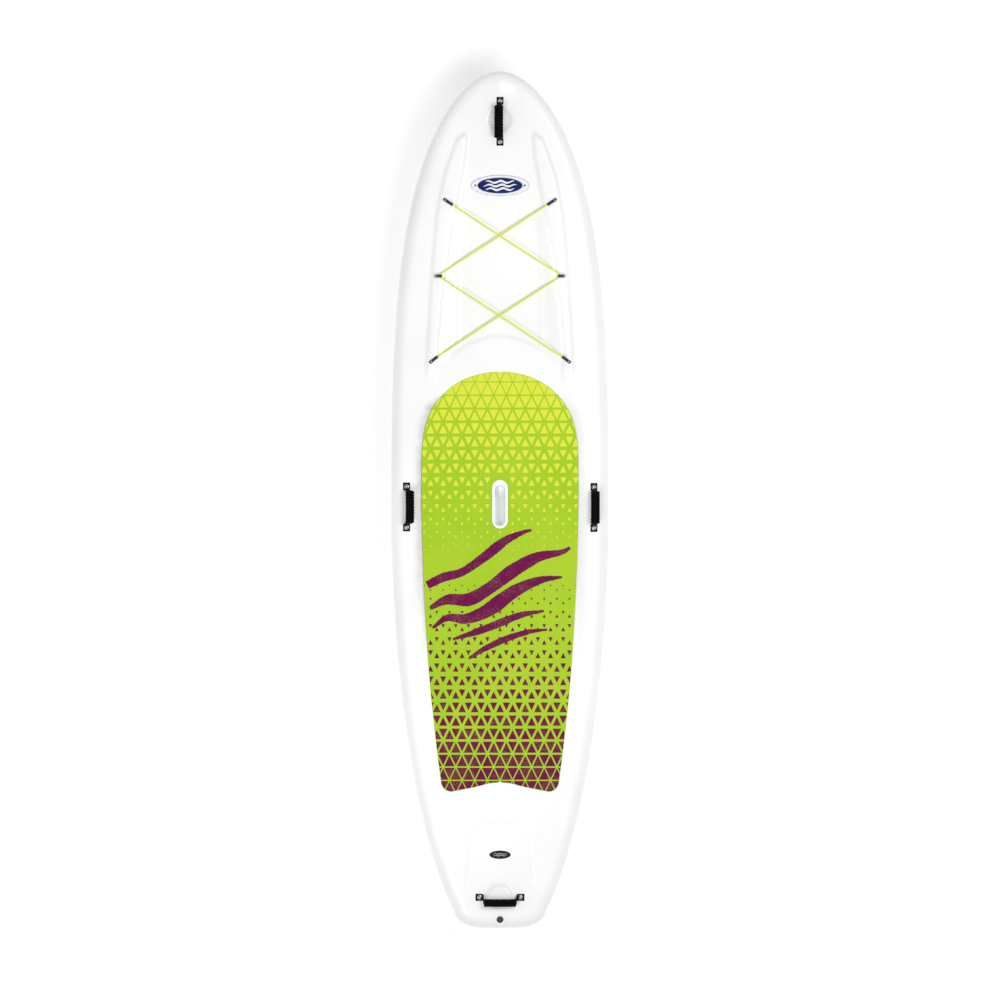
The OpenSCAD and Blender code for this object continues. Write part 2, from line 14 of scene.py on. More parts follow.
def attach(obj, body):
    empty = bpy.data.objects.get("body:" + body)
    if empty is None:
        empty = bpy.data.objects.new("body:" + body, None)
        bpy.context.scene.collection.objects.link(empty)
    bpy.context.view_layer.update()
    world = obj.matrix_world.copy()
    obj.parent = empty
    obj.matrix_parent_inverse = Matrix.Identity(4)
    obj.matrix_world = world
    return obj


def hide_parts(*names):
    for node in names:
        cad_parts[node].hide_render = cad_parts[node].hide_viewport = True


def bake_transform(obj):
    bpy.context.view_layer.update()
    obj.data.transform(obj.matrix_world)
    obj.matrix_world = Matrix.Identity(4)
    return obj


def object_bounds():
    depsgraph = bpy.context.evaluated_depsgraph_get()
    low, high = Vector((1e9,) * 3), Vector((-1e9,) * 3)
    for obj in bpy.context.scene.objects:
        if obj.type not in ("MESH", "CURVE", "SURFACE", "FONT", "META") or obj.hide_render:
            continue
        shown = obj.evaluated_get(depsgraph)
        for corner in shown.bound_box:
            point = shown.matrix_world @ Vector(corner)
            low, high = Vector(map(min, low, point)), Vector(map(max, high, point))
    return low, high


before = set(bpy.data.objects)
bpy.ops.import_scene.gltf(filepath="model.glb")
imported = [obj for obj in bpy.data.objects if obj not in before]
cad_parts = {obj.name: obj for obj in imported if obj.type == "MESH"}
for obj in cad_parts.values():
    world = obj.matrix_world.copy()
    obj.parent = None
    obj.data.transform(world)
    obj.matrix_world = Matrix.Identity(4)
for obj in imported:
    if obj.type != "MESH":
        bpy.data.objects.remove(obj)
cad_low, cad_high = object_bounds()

MM = 0.001
WEAVE = "weave"     # name of the UV map that holds lengths along and across a strap or cord, in metres
SEED = 7


# ---------------------------------------------------------------- camera, floor and lights

def srgb(r, g, b):
    """An 8-bit screen colour as linear light."""
    return tuple(c / 12.92 if c <= 0.04045 else ((c + 0.055) / 1.055) ** 2.4
                 for c in (r / 255, g / 255, b / 255))


def make_camera():
    sensor, lens, span = 36.0, 300.0, 3.734      # span: width of the view at the deck, in metres
    deck = cad_low.z + 0.335                     # the board's outline lies at about this height
    data = bpy.data.cameras.new("camera")
    data.sensor_width, data.lens = sensor, lens
    data.clip_start, data.clip_end = 0.5, 200
    camera = bpy.data.objects.new("camera", data)
    camera.location = (0, 0, deck + span * lens / sensor)
    bpy.context.scene.collection.objects.link(camera)
    bpy.context.scene.camera = camera


def make_light(name, place, size, power, target=(0, 0, 0)):
    data = bpy.data.lights.new(name, "AREA")
    data.shape, data.size, data.energy = "DISK", size, power
    light = bpy.data.objects.new(name, data)
    light.location = place
    light.rotation_euler = (Vector(target) - Vector(place)).to_track_quat("-Z", "Y").to_euler()
    light.visible_camera = False
    bpy.context.scene.collection.objects.link(light)


def make_studio():
    scene = bpy.context.scene
    scene.view_settings.view_transform = "Standard"
    scene.world = bpy.data.worlds.new("studio")
    scene.world.use_nodes = True
    back = scene.world.node_tree.nodes["Background"]
    back.inputs["Color"].default_value = (1, 1, 1, 1)
    back.inputs["Strength"].default_value = 0.54
    make_light("key_right", (1.6, 0.3, 4.7), 2.2, 92)
    make_light("key_tail", (-1.6, -2.2, 4.8), 2.2, 74)
    floor = bpy.data.meshes.new("floor")
    r, z = 60.0, cad_low.z - 0.0005
    floor.from_pydata([(-r, -r, z), (r, -r, z), (r, r, z), (-r, r, z)], [], [(0, 1, 2, 3)])
    stage = bpy.data.objects.new("floor", floor)
    scene.collection.objects.link(stage)
    lit = Finish("studio_floor", (0.93, 0.93, 0.93), 0.9, Emission_Color=(1, 1, 1), Emission_Strength=0.23)
    floor.materials.append(lit.material)


# ---------------------------------------------------------------- materials

class Finish:
    """A procedural material: a Principled shader and the nodes that feed it. Texture lengths are in metres."""

    def __init__(self, name, colour, rough, uv=False, **values):
        self.material = bpy.data.materials.new(name)
        self.material.use_nodes = True
        self.tree = self.material.node_tree
        self.shader = self.tree.nodes["Principled BSDF"]
        self.set(Base_Color=colour, Roughness=rough, **values)
        self.at = self.weave_map() if uv else self.node("TexCoord").outputs["Object"]

    def feed(self, socket, value):
        if isinstance(value, bpy.types.NodeSocket):
            self.tree.links.new(value, socket)
        elif isinstance(value, tuple) and len(value) == 3 and socket.type == "RGBA":
            socket.default_value = (*value, 1)
        else:
            socket.default_value = value

    def set(self, **inputs):
        """Feeds inputs of the shader, named with _ for a space."""
        for key, value in inputs.items():
            self.feed(self.shader.inputs[key.replace("_", " ")], value)
        return self

    def node(self, kind, settings=None, **inputs):
        """A new node with its own settings and with inputs named as in set."""
        node = self.tree.nodes.new("ShaderNode" + kind)
        for key, value in (settings or {}).items():
            setattr(node, key, value)
        for key, value in inputs.items():
            self.feed(node.inputs[key.replace("_", " ")], value)
        return node

    def weave_map(self):
        return self.node("UVMap", {"uv_map": WEAVE}).outputs["UV"]

    def scaled(self, x, y, z=1.0, turn=0.0):
        return self.node("Mapping", Vector=self.at, Scale=(x, y, z), Rotation=(0, 0, turn)).outputs["Vector"]

    def axis(self, name, at=None):
        return self.node("SeparateXYZ", Vector=at or self.at).outputs[name]

    def noise(self, scale, detail, rough, at=None):
        return self.node("TexNoise", Vector=at or self.at, Scale=scale, Detail=detail,
                         Roughness=rough).outputs["Fac"]

    def cells(self, scale):
        return self.node("TexVoronoi", Vector=self.at, Scale=scale).outputs["Distance"]

    def bands(self, pitch, at=None, direction="X"):
        """Sine bands of one pitch along an axis."""
        return self.node("TexWave", {"bands_direction": direction}, Vector=at or self.at,
                         Scale=2 * math.pi / (20 * pitch)).outputs["Fac"]

    def sum(self, a, b, how="ADD"):
        node = self.node("Math", {"operation": how})
        self.feed(node.inputs[0], a)
        self.feed(node.inputs[1], b)
        return node.outputs[0]

    def product(self, a, b):
        return self.sum(a, b, "MULTIPLY")

    def span(self, value, low, high, to_low=0.0, to_high=1.0):
        """A smooth step over low to high, that gives to_low to to_high."""
        return self.node("MapRange", {"interpolation_type": "SMOOTHSTEP"}, Value=value, From_Min=low,
                         From_Max=high, To_Min=to_low, To_Max=to_high).outputs["Result"]

    def mottle(self, scale, detail, rough, low=0.0, high=1.0):
        """Noise spread over low to high."""
        return self.span(self.noise(scale, detail, rough), 0.3, 0.7, low, high)

    def between(self, share, a, b):
        node = self.node("Mix", {"data_type": "RGBA"})
        for index, value in ((0, share), (6, a), (7, b)):
            self.feed(node.inputs[index], value)
        return node.outputs[2]

    def height(self, value, distance, strength=1.0):
        """Adds bump from a height, distance being its full depth in metres."""
        normal = self.shader.inputs["Normal"]
        bump = self.node("Bump", Strength=strength, Distance=distance, Height=value)
        if normal.links:
            self.feed(bump.inputs["Normal"], normal.links[0].from_socket)
        self.feed(normal, bump.outputs["Normal"])


def shell_finish(name, low, high, rough, painted_shade=0.0, waves=0.00035, scuffs=0.35):
    """Moulded plastic shell: faint mottling, fine orange peel, light rubs and scuffs.

    The argument after rough is how much darker the plastic is painted, as painted shade, where the WEAVE map
    marks the foot of the recess walls.
    """
    f = Finish(name, high, rough, Coat_Weight=0.25, Coat_Roughness=0.12, Specular_IOR_Level=0.45)
    rub = f.span(f.noise(9, 6, 0.7, at=f.scaled(6, 0.7, 3)), 0.60, 0.76)
    colour = f.between(f.product(rub, scuffs), f.between(f.mottle(2.2, 2, 0.5), high, low),
                       tuple(c * 0.93 for c in low))
    # Painted shade: the plastic is darkened at the foot of the standing recess's walls, more on the left.
    if painted_shade:
        painted_recess_shade = f.product(f.axis("X", f.weave_map()), f.span(f.noise(30, 4, 0.6), 0.25, 0.75, 0.85, 1.0))
        colour = f.between(painted_recess_shade, colour, tuple(c * (1 - painted_shade) for c in low))
    f.set(Base_Color=colour,
          Roughness=f.sum(f.mottle(35, 4, 0.6, rough - 0.05, rough + 0.08), f.product(rub, scuffs / 3)))
    f.height(f.noise(420, 2, 0.5), 0.00003)
    f.height(f.noise(28, 2, 0.4), waves, 0.5)
    return f


def foam_mat_colour(f):
    """The mat's green, slightly uneven, with the darker and lighter grain of brushed closed-cell foam."""
    green = f.between(f.span(f.noise(5, 3, 0.6), 0.35, 0.65), srgb(160, 200, 34), srgb(171, 203, 43))
    grain = f.span(f.noise(1500, 2, 0.6), 0.38, 0.62)
    return f.between(f.product(grain, 0.22), green, srgb(144, 185, 30))


def foam_mat_bump(f):
    f.height(f.noise(900, 3, 0.65), 0.0003, 0.8)
    f.height(f.cells(420), 0.0002, 0.4)


def print_finish(name, ink, other, cut, specks):
    """Ink on the mat, worn through in specks to the mat's own colour."""
    f = Finish(name, ink, 0.82, Specular_IOR_Level=0.12)
    worn = f.span(f.noise(specks, 5, 0.75), cut, cut + 0.035)
    patch = f.span(f.noise(14, 4, 0.6), 0.42, 0.62)
    f.set(Base_Color=f.between(f.product(worn, patch), f.between(f.mottle(60, 3, 0.6), ink, other),
                               foam_mat_colour(f)),
          Roughness=f.mottle(500, 2, 0.6, 0.74, 0.9))
    foam_mat_bump(f)
    return f


def plastic(name, low, high, rough, grain, gloss=0.5):
    f = Finish(name, high, rough, Specular_IOR_Level=gloss)
    f.set(Base_Color=f.between(f.mottle(90, 4, 0.6), low, high),
          Roughness=f.mottle(240, 3, 0.6, rough - 0.06, rough + 0.1))
    f.height(f.noise(grain, 2, 0.6), 0.00007)
    return f


def metal(name, low, high, rough, stretch):
    f = Finish(name, high, rough, Metallic=1.0)
    lines = f.noise(900, 4, 0.7, at=f.scaled(*stretch))
    f.set(Base_Color=f.between(f.span(f.noise(220, 4, 0.65), 0.5, 0.75), high, low),
          Roughness=f.span(lines, 0.25, 0.75, rough - 0.08, rough + 0.12))
    f.height(lines, 0.00004, 0.6)
    return f


def make_finishes():
    pale, shaded = srgb(250, 251, 251), srgb(222, 227, 229)
    made = {
        # the deck's shell is painted darker at the foot of the recess walls, as painted shade
        "shell": shell_finish("shell_white", srgb(240, 240, 241), srgb(248, 248, 248), 0.34, painted_shade=0.44),
        "hull": shell_finish("shell_white_hull", srgb(236, 237, 238), srgb(246, 246, 247), 0.3,
                             waves=0.0002, scuffs=0.25),
        "cup": shell_finish("cup_white", shaded, pale, 0.4),
        "yellow": print_finish("mat_print_yellow", srgb(224, 225, 74), srgb(211, 227, 62), 0.64, 700),
        "purple": print_finish("mat_print_purple", srgb(113, 22, 70), srgb(104, 16, 62), 0.575, 420),
        "stroke": print_finish("mat_print_strokes", srgb(114, 20, 78), srgb(103, 15, 68), 0.585, 330),
        "steel": metal("steel_screws", srgb(104, 105, 108), srgb(158, 160, 162), 0.3, (1, 6, 1)),
        "brass": metal("brass_inserts", srgb(150, 112, 50), srgb(206, 170, 92), 0.32, (1, 1, 6)),
        "plastic": plastic("plastic_black", srgb(18, 18, 19), srgb(34, 34, 36), 0.42, 1100),
        "grey": plastic("plastic_grey", srgb(58, 60, 62), srgb(84, 86, 88), 0.5, 900),
        "fin": plastic("fin_black_nylon", srgb(17, 18, 19), srgb(30, 31, 33), 0.36, 500),
        "navy": plastic("badge_navy", srgb(10, 28, 88), srgb(15, 36, 108), 0.36, 600, gloss=0.1),
        "silver": plastic("badge_silver", srgb(168, 172, 180), srgb(204, 208, 214), 0.28, 800),
        "badge": plastic("badge_white", srgb(226, 229, 232), srgb(243, 244, 246), 0.32, 700),
        "label": plastic("label_black", srgb(14, 14, 15), srgb(26, 26, 28), 0.38, 700, gloss=0.2),
    }
    f = made["cup"]             # painted shade low in the well and down its left wall
    well_shade = f.product(f.span(f.axis("Z"), 0.127, 0.118), f.span(f.axis("X"), 0.0, -0.008))
    f.set(Base_Color=f.between(well_shade, pale, shaded))

    f = made["mat"] = Finish("mat_green", srgb(168, 210, 42), 0.85, Specular_IOR_Level=0.25, Sheen_Weight=0.05,
                             Sheen_Roughness=0.5)
    f.set(Base_Color=foam_mat_colour(f), Roughness=f.mottle(300, 2, 0.5, 0.78, 0.92))
    foam_mat_bump(f)

    f = made["thread"] = Finish("thread_black", srgb(30, 30, 31), 0.6)
    f.set(Roughness=f.mottle(2600, 3, 0.6, 0.5, 0.7))
    f.height(f.noise(4000, 2, 0.6), 0.0001)

    f = made["webbing"] = Finish("webbing_black", srgb(12, 12, 13), 0.68, uv=True, Specular_IOR_Level=0.06,
                                 Sheen_Weight=0.01, Sheen_Roughness=0.4)
    along, across = f.bands(0.0024), f.bands(0.0016, direction="Y")
    twill = f.bands(0.0021, at=f.scaled(1, 1, 1, math.radians(38)))
    weave = f.sum(f.product(along, across), f.product(twill, 0.5))
    fuzz = f.noise(2600, 3, 0.7)
    f.set(Base_Color=f.between(f.span(weave, 0.15, 1.1), srgb(4, 4, 5), srgb(16, 16, 17)),
          Roughness=f.span(fuzz, 0.3, 0.7, 0.5, 0.75))
    f.height(weave, 0.0005)
    f.height(fuzz, 0.00012, 0.7)

    f = made["rubber"] = Finish("grip_rubber", srgb(8, 8, 8), 0.4, Specular_IOR_Level=0.05)
    dust = f.span(f.noise(55, 5, 0.7), 0.5, 0.75)
    f.set(Base_Color=f.between(dust, srgb(3, 3, 3), srgb(11, 10, 10)),
          Roughness=f.mottle(160, 3, 0.6, 0.3, 0.48))
    f.height(f.noise(1500, 2, 0.6), 0.0001)
    f.height(f.noise(120, 3, 0.6), 0.0003, 0.4)

    f = made["seal"] = Finish("seal_rubber_soft", srgb(24, 24, 25), 0.65)
    f.set(Roughness=f.mottle(900, 2, 0.6, 0.55, 0.75))
    f.height(f.noise(1300, 2, 0.5), 0.00008)

    f = made["foam"] = Finish("core_foam_bead", srgb(238, 234, 214), 0.95)
    beads = f.cells(260)
    f.set(Base_Color=f.between(f.span(beads, 0.1, 0.6), srgb(244, 241, 226), srgb(222, 216, 192)))
    f.height(beads, 0.0008)

    f = made["braid"] = Finish("bungee_braid", srgb(212, 224, 62), 0.55, uv=True, Sheen_Weight=0.3,
                               Sheen_Roughness=0.4)
    left, right = (f.bands(0.0034, at=f.scaled(1, 1, 1, math.radians(s * 45))) for s in (1, -1))
    braid = f.sum(f.product(left, right), f.product(f.sum(left, right), 0.3))
    threads = f.noise(1800, 3, 0.7)
    f.set(Base_Color=f.between(f.span(braid, 0.05, 0.9), srgb(204, 219, 36), srgb(241, 249, 80)),
          Roughness=f.span(threads, 0.3, 0.7, 0.45, 0.7))
    f.height(braid, 0.0004, 0.6)
    f.height(threads, 0.0001, 0.5)
    return {key: f.material for key, f in made.items()}


# ---------------------------------------------------------------- mesh helpers

def mesh(name, points, faces, material, body, slot=None, stands_for=(), sharp=None, uvs=None, closed=True):
    """A piece from points in millimetres. sharp is the angle over which an edge stays sharp, in degrees."""
    data = bpy.data.meshes.new(name)
    data.from_pydata((np.asarray(points, float) * MM).tolist(), [], [tuple(map(int, f)) for f in faces])
    if uvs is not None:
        layer = data.uv_layers.new(name=WEAVE)
        index = np.zeros(len(data.loops), np.int64)
        data.loops.foreach_get("vertex_index", index)
        layer.data.foreach_set("uv", (np.asarray(uvs, float)[index] * MM).astype(np.float32).ravel())
    if closed:
        b = bmesh.new()
        b.from_mesh(data)
        bmesh.ops.recalc_face_normals(b, faces=b.faces)
        b.to_mesh(data)
        b.free()
    data.validate()
    data.polygons.foreach_set("use_smooth", [True] * len(data.polygons))
    if sharp is not None:
        data.set_sharp_from_angle(angle=math.radians(sharp))
    data.materials.append(material)
    piece = bpy.data.objects.new(name, data)
    bpy.context.scene.collection.objects.link(piece)
    if body:                    # a piece that blends between two bodies rides on neither alone
        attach(piece, body)
    if stands_for:
        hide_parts(*stands_for)
    return piece


class Build:
    """Collects points and faces of several solids for one piece."""

    def __init__(self):
        self.points, self.faces, self.uvs = [], [], []

    def add(self, points, faces, place=None, uvs=None):
        start = len(self.points)
        for p in points:
            self.points.append(tuple(place @ Vector(p)) if place else tuple(p))
        self.faces += [tuple(start + i for i in f) for f in faces]
        self.uvs += list(uvs) if uvs is not None else [(0.0, 0.0)] * len(points)
        return self

    def piece(self, name, material, body, **more):
        uvs = self.uvs if any(u != (0.0, 0.0) for u in self.uvs) else None
        return mesh(name, self.points, self.faces, material, body, uvs=uvs, **more)


def grid(rows, columns, around=False, start=0):
    """Quads of a grid of points stored row by row; around joins the last column to the first."""
    last = columns if around else columns - 1
    return [(start + r * columns + c, start + r * columns + (c + 1) % columns,
             start + (r + 1) * columns + (c + 1) % columns, start + (r + 1) * columns + c)
            for r in range(rows - 1) for c in range(last)]


def loft(rings, capped=True):
    """Points and faces of a skin over closed rings with the same number of points."""
    n = len(rings[0])
    points = [p for ring in rings for p in ring]
    faces = grid(len(rings), n, around=True)
    if capped:
        faces += [tuple(range(n))[::-1], tuple(range((len(rings) - 1) * n, len(rings) * n))]
    return points, faces


def lathe(profile, n=48, shape=None):
    """A solid turned about Z from (radius, height) pairs. shape(angle, step) scales a radius."""
    rings = []
    for i, (r, z) in enumerate(profile):
        radii = [(a, r * (shape(a, i) if shape else 1)) for a in turns(n)]
        rings.append([(radius * math.cos(a), radius * math.sin(a), z) for a, radius in radii])
    return loft(rings)


def turns(n):
    """n even angles round a full turn."""
    return [2 * math.pi * k / n for k in range(n)]


def headings(line):
    """The unit direction at each point of a line."""
    way = np.gradient(line, axis=0)
    return way / np.linalg.norm(way, axis=1, keepdims=True)


def lengths(line):
    """How far along a line each of its points lies."""
    return np.r_[0, np.cumsum(np.linalg.norm(np.diff(line, axis=0), axis=1))]


def smooth_path(points, step):
    """A Catmull-Rom curve through points, sampled about every step millimetres."""
    p = [np.asarray(q, float) for q in points]
    p = [2 * p[0] - p[1]] + p + [2 * p[-1] - p[-2]]
    out = []
    for i in range(1, len(p) - 2):
        n = max(2, int(np.linalg.norm(p[i + 1] - p[i]) / step))
        for k in range(n):
            t = k / n
            out.append(0.5 * (2 * p[i] + (p[i + 1] - p[i - 1]) * t
                              + (2 * p[i - 1] - 5 * p[i] + 4 * p[i + 1] - p[i + 2]) * t * t
                              + (3 * p[i] - 3 * p[i + 1] + p[i + 2] - p[i - 1]) * t ** 3))
    return np.array(out + [p[-2]])


def smoothstep(low, high, value):
    t = np.clip((np.asarray(value, float) - low) / (high - low), 0, 1)
    return t * t * (3 - 2 * t)


def distance(x, y, polygon):
    """Signed distance from points to a closed polygon, negative inside."""
    x, y = np.asarray(x, float), np.asarray(y, float)
    best, inside = np.full(x.shape, 1e9), np.zeros(x.shape, bool)
    for (ax, ay), (bx, by) in zip(polygon, polygon[1:] + polygon[:1]):
        ux, uy = bx - ax, by - ay
        t = np.clip(((x - ax) * ux + (y - ay) * uy) / max(ux * ux + uy * uy, 1e-9), 0, 1)
        best = np.minimum(best, np.hypot(x - ax - t * ux, y - ay - t * uy))
        if ay != by:
            inside ^= ((ay > y) != (by > y)) & (x < ax + (y - ay) * ux / uy)
    return np.where(inside, -best, best)


def both_sides(half):
    """A closed outline from its right half, which runs from the centre line round to the centre line."""
    return half + [(-x, y) for x, y in reversed(half) if x > 0]


def soften(piece, width):
    """Rounds a CAD node's or a piece's edges; the CAD mesh itself isn't changed."""
    weld = piece.modifiers.new("weld", "WELD")
    weld.merge_threshold = 0.00001
    bevel = piece.modifiers.new("bevel", "BEVEL")
    bevel.width, bevel.segments = width * MM, 2
    bevel.limit_method, bevel.angle_limit = "ANGLE", math.radians(35)
    piece.modifiers.new("normals", "WEIGHTED_NORMAL")


def plate(name, loops, z, bevel, material, body, place=None, **more):
    """A flat plate between two heights, with rounded edges and holes where loops lie inside each other."""
    curve = bpy.data.curves.new(name + "_outline", "CURVE")
    curve.dimensions, curve.fill_mode = "2D", "BOTH"
    for loop in loops:
        spline = curve.splines.new("POLY")
        spline.points.add(len(loop) - 1)
        spline.points.foreach_set("co", [v for x, y in loop for v in (x * MM, y * MM, 0, 1)])
        spline.use_cyclic_u = True
    curve.extrude = ((z[1] - z[0]) / 2 - bevel) * MM
    curve.bevel_depth, curve.bevel_resolution, curve.offset = bevel * MM, 3, -bevel * MM
    scratch = bpy.data.objects.new(name + "_scratch", curve)
    bpy.context.scene.collection.objects.link(scratch)
    data = bpy.data.meshes.new_from_object(scratch.evaluated_get(bpy.context.evaluated_depsgraph_get()))
    bpy.data.objects.remove(scratch)
    b = bmesh.new()
    b.from_mesh(data)
    bmesh.ops.remove_doubles(b, verts=b.verts, dist=0.000005)
    points = [(v.co.x / MM, v.co.y / MM, v.co.z / MM + (z[0] + z[1]) / 2) for v in b.verts]
    b.verts.index_update()
    faces = [[v.index for v in f.verts] for f in b.faces]
    b.free()
    bpy.data.meshes.remove(data)
    if place:
        points = [tuple(place @ Vector(p)) for p in points]
    piece = mesh(name, points, faces, material, body, **more)
    piece.modifiers.new("normals", "WEIGHTED_NORMAL")
    return piece


# ---------------------------------------------------------------- the board's form, as in the CAD source

HALF_L, HALF_W, DECK_Z = 1600.0, 407.0, 132.0
BOW_RUN, STERN_START, STERN_RUN = 1800.0, -50.0, 1650.0
CORNER = (60.0, -1540.0, 110.0, 60.0)        # centre and radii of the tail's corner
SPINE = 1450.0
CURVE_FROM, DECK_CURVE = 500.0, 60.0 / 1100 ** 2
TAIL_FROM, TAIL_LIFT, TAIL_RUN = -650.0, 35.0, 950.0
DECK_RAIL, HULL_RAIL, WALL = 50.0, 88.0, 7.0
RECESS, RIDGE_H = 4.0, 9.0
INNER_SPLIT = 34.0                           # distance from the centre line where the inner skin's rows are split
RAIL_ROWS, SEAM_INSET, SEAM_LIP = 13, 1.3, 0.7
FLOOR_Z = DECK_Z - RECESS
PAD_TOP = FLOOR_Z + 5.0
CARRY_Y = -16.0
SLOT_W, SLOT_L = 60, 183                     # the slot in the mat over the carry well
FIN_BOX_Y = -1260.0
FIN_SLOPE = -2 * TAIL_LIFT * (TAIL_FROM - FIN_BOX_Y) / TAIL_RUN ** 2
FLANGE = (18.0, 131.0)                       # half width and half length of the fin box's flange


def half_width(y):
    bow = 1 - np.maximum(0, (y - HALF_L + BOW_RUN) / BOW_RUN) ** 3.6
    stern = 1 - np.maximum(0, (STERN_START - y) / STERN_RUN) ** 1.9
    return HALF_W * np.where(y > STERN_START, np.maximum(0, bow) ** 0.55, np.maximum(0, stern) ** 0.5)


def hull_z(y):
    return (140 * (np.maximum(0, y - 350) / 1250) ** 2.3
            + TAIL_LIFT * (np.maximum(0, TAIL_FROM - y) / TAIL_RUN) ** 2)


def deck_top(y):
    return DECK_Z + DECK_CURVE * np.maximum(0, y - CURVE_FROM) ** 2


def seam_z(y):
    return hull_z(y) + 0.45 * (deck_top(y) - hull_z(y))


def rail_rise(t):
    return (1 - (1 - np.minimum(1, t)) ** 2.2) ** (1 / 2.2)


def outline_right(bow, stern, corner):
    """The right half of the outline, from the nose tip to the right end of the straight tail edge."""
    a = np.radians(90 * np.arange(bow + 1) / bow)
    y = HALF_L - (HALF_L - STERN_START) * (1 - np.cos(a))
    ys = STERN_START + (CORNER[1] - STERN_START) * np.arange(1, stern + 1) / stern
    c = np.radians(90 * np.arange(1, corner + 1) / corner)
    return np.vstack([np.c_[half_width(y), y], np.c_[half_width(ys), ys],
                      np.c_[CORNER[0] + CORNER[2] * np.cos(c), CORNER[1] - CORNER[3] * np.sin(c)]])


def inward(p, d):
    """Outline points moved in towards the board's spine, which widens into the straight tail edge."""
    wide = 1 - smoothstep(CORNER[1], -1400, p[:, 1])
    s = np.c_[np.clip(p[:, 0], -CORNER[0], CORNER[0]) * wide, np.clip(p[:, 1], -SPINE, SPINE)]
    away = np.linalg.norm(p - s, axis=1, keepdims=True)
    return p + (s - p) * d / away


PAD_HALF, PAD_SHOULDER, PAD_FRONT, PAD_REAR, PAD_CORNER = 293, 100, 479, -1090, 40


def pad_arc(edge, steps, to=90):
    return [((PAD_HALF + edge) * math.sin(a),
             PAD_SHOULDER + (PAD_FRONT - PAD_SHOULDER + edge) * max(0.0, math.cos(a)) ** (2 / 3))
            for a in (math.radians(to * i / steps) for i in range(steps + 1))]


def pad_corner(edge, steps):
    return [(181 + (PAD_CORNER + edge) * math.cos(a), PAD_REAR + PAD_CORNER - (PAD_CORNER + edge) * math.sin(a))
            for a in (math.radians(90 * i / steps) for i in range(steps + 1))]


PAD_SIDE = [(PAD_HALF, 0), (286, -274), (267, -627), (241, -892)]
RECESS_SIDE = [(247, 396), (292, 352), (321, 275), (329, 180), (330, 0), (328, -230), (331, -400), (331, -720),
               (300, -800)]
RIDGE_IN = [(238, 421), (232, 560), (222, 700), (199, 888), (180, 1000), (155, 1145), (130, 1275), (124, 1355)]
RIDGE_OUT = [(131, 1368), (161, 1343), (208, 1212), (236, 1063), (252, 877), (264, 690), (273, 530), (277, 421)]
TAIL_PANEL = [(0, -1205), (60, -1210), (98, -1224), (106, -1240), (112, -1300), (128, -1470), (0, -1500)]


def rounded(points, step=12.0):
    """An open run of outline points as a smooth curve."""
    return [tuple(p[:2]) for p in smooth_path([(x, y, 0) for x, y in points], step)]


def pad_outline(edge=0.0):
    side = [(x + edge, y) for x, y in [(PAD_HALF, PAD_SHOULDER), *PAD_SIDE, (221, PAD_REAR + PAD_CORNER)]]
    rear = [(181, PAD_REAR - edge), (90, -1072 - edge), (40, -1059 - edge), (8, -1056 - edge)]
    notch = 6.0
    return both_sides([(0, PAD_FRONT + edge - notch), (5, PAD_FRONT + edge)] + pad_arc(edge, 60)[2:-1]
                      + rounded(side)[:-1] + pad_corner(edge, 12)[:-1] + rounded(rear) + [(0, -1050 - edge)])


RECESS_LINE = both_sides(pad_arc(2.5, 24, 45) + RECESS_SIDE + [(0, -800)])
RIDGE_LINE = RIDGE_OUT + RIDGE_IN
PANEL_LINE = both_sides(TAIL_PANEL)
DISHES, DISH_DEPTH, DISH_EDGE = [(1418, 50), (-1480, 52)], 5.0, 18      # DISHES: centre in Y and radius
LEDGE_W = 52                                  # width of the slope inside a ridge
CARGO_AFT, CARGO_SAG, CARGO_HALF = 612, 34, 125
CARGO_DROP, CREASE_DROP = 1.6, 3.2
RECESS_BOWL, RECESS_FALL = 1.8, 40            # extra depth at the middle, and width of the fall to it
GROOVE_DEPTH, GROOVE_W = 3.4, 5.0
TRENCH_DEPTH = 2.4
CREST_H, CREST_HALF = 5.0, 62


def relief(x, y):
    """Height of the deck's moulded features over its plain surface."""
    side = np.abs(x)
    # The ridges that carry the bungee, with an inner slope down to a ledge beside the cargo floor.
    ridge = 1 - smoothstep(-11, 10, distance(side, y, RIDGE_LINE))
    inner = np.interp(y, [p[1] for p in RIDGE_IN], [p[0] for p in RIDGE_IN])
    slope = smoothstep(inner - LEDGE_W, inner, side) * (side < inner + 2)
    slope = slope * smoothstep(500, 560, y) * (1 - smoothstep(1000, 1130, y))
    z = RIDGE_H * np.maximum(ridge, slope) * smoothstep(425, 510, y)
    # The cargo floor between the ridges ends aft in an arc, and on each side in a crease.
    arc = CARGO_AFT - CARGO_SAG * (side / CARGO_HALF) ** 2
    cargo = smoothstep(arc - 8, arc + 8, y) * (1 - smoothstep(1040, 1130, y))
    z = z - cargo * (CARGO_DROP * (1 - smoothstep(143, 151, side))
                     + CREASE_DROP * (1 - smoothstep(150, 215, side)))
    # The standing recess, the dishes under the end handles and the panels at the tail.
    into = np.clip(-distance(x, y, RECESS_LINE) / RECESS_FALL, 0, 1)
    z = z - (RECESS + RECESS_BOWL) * into ** 1.6 * smoothstep(-720, -430, y)
    for centre, radius in DISHES:
        z = z - DISH_DEPTH * (1 - smoothstep(radius - DISH_EDGE, radius, np.hypot(x, y - centre)))
    off = distance(x, y, PANEL_LINE)
    z = z - GROOVE_DEPTH * np.exp(-(off / GROOVE_W) ** 2) * smoothstep(-1450, -1400, y)
    fade = smoothstep(-1400, -1330, y) * (1 - smoothstep(-1130, -1085, y))
    z = z - TRENCH_DEPTH * smoothstep(199, 210, side) * (1 - smoothstep(222, 262, side)) * fade
    # The nose comes to a low crest.
    z = z + CREST_H * np.maximum(0, 1 - side / CREST_HALF) * smoothstep(1455, 1570, y)
    return z


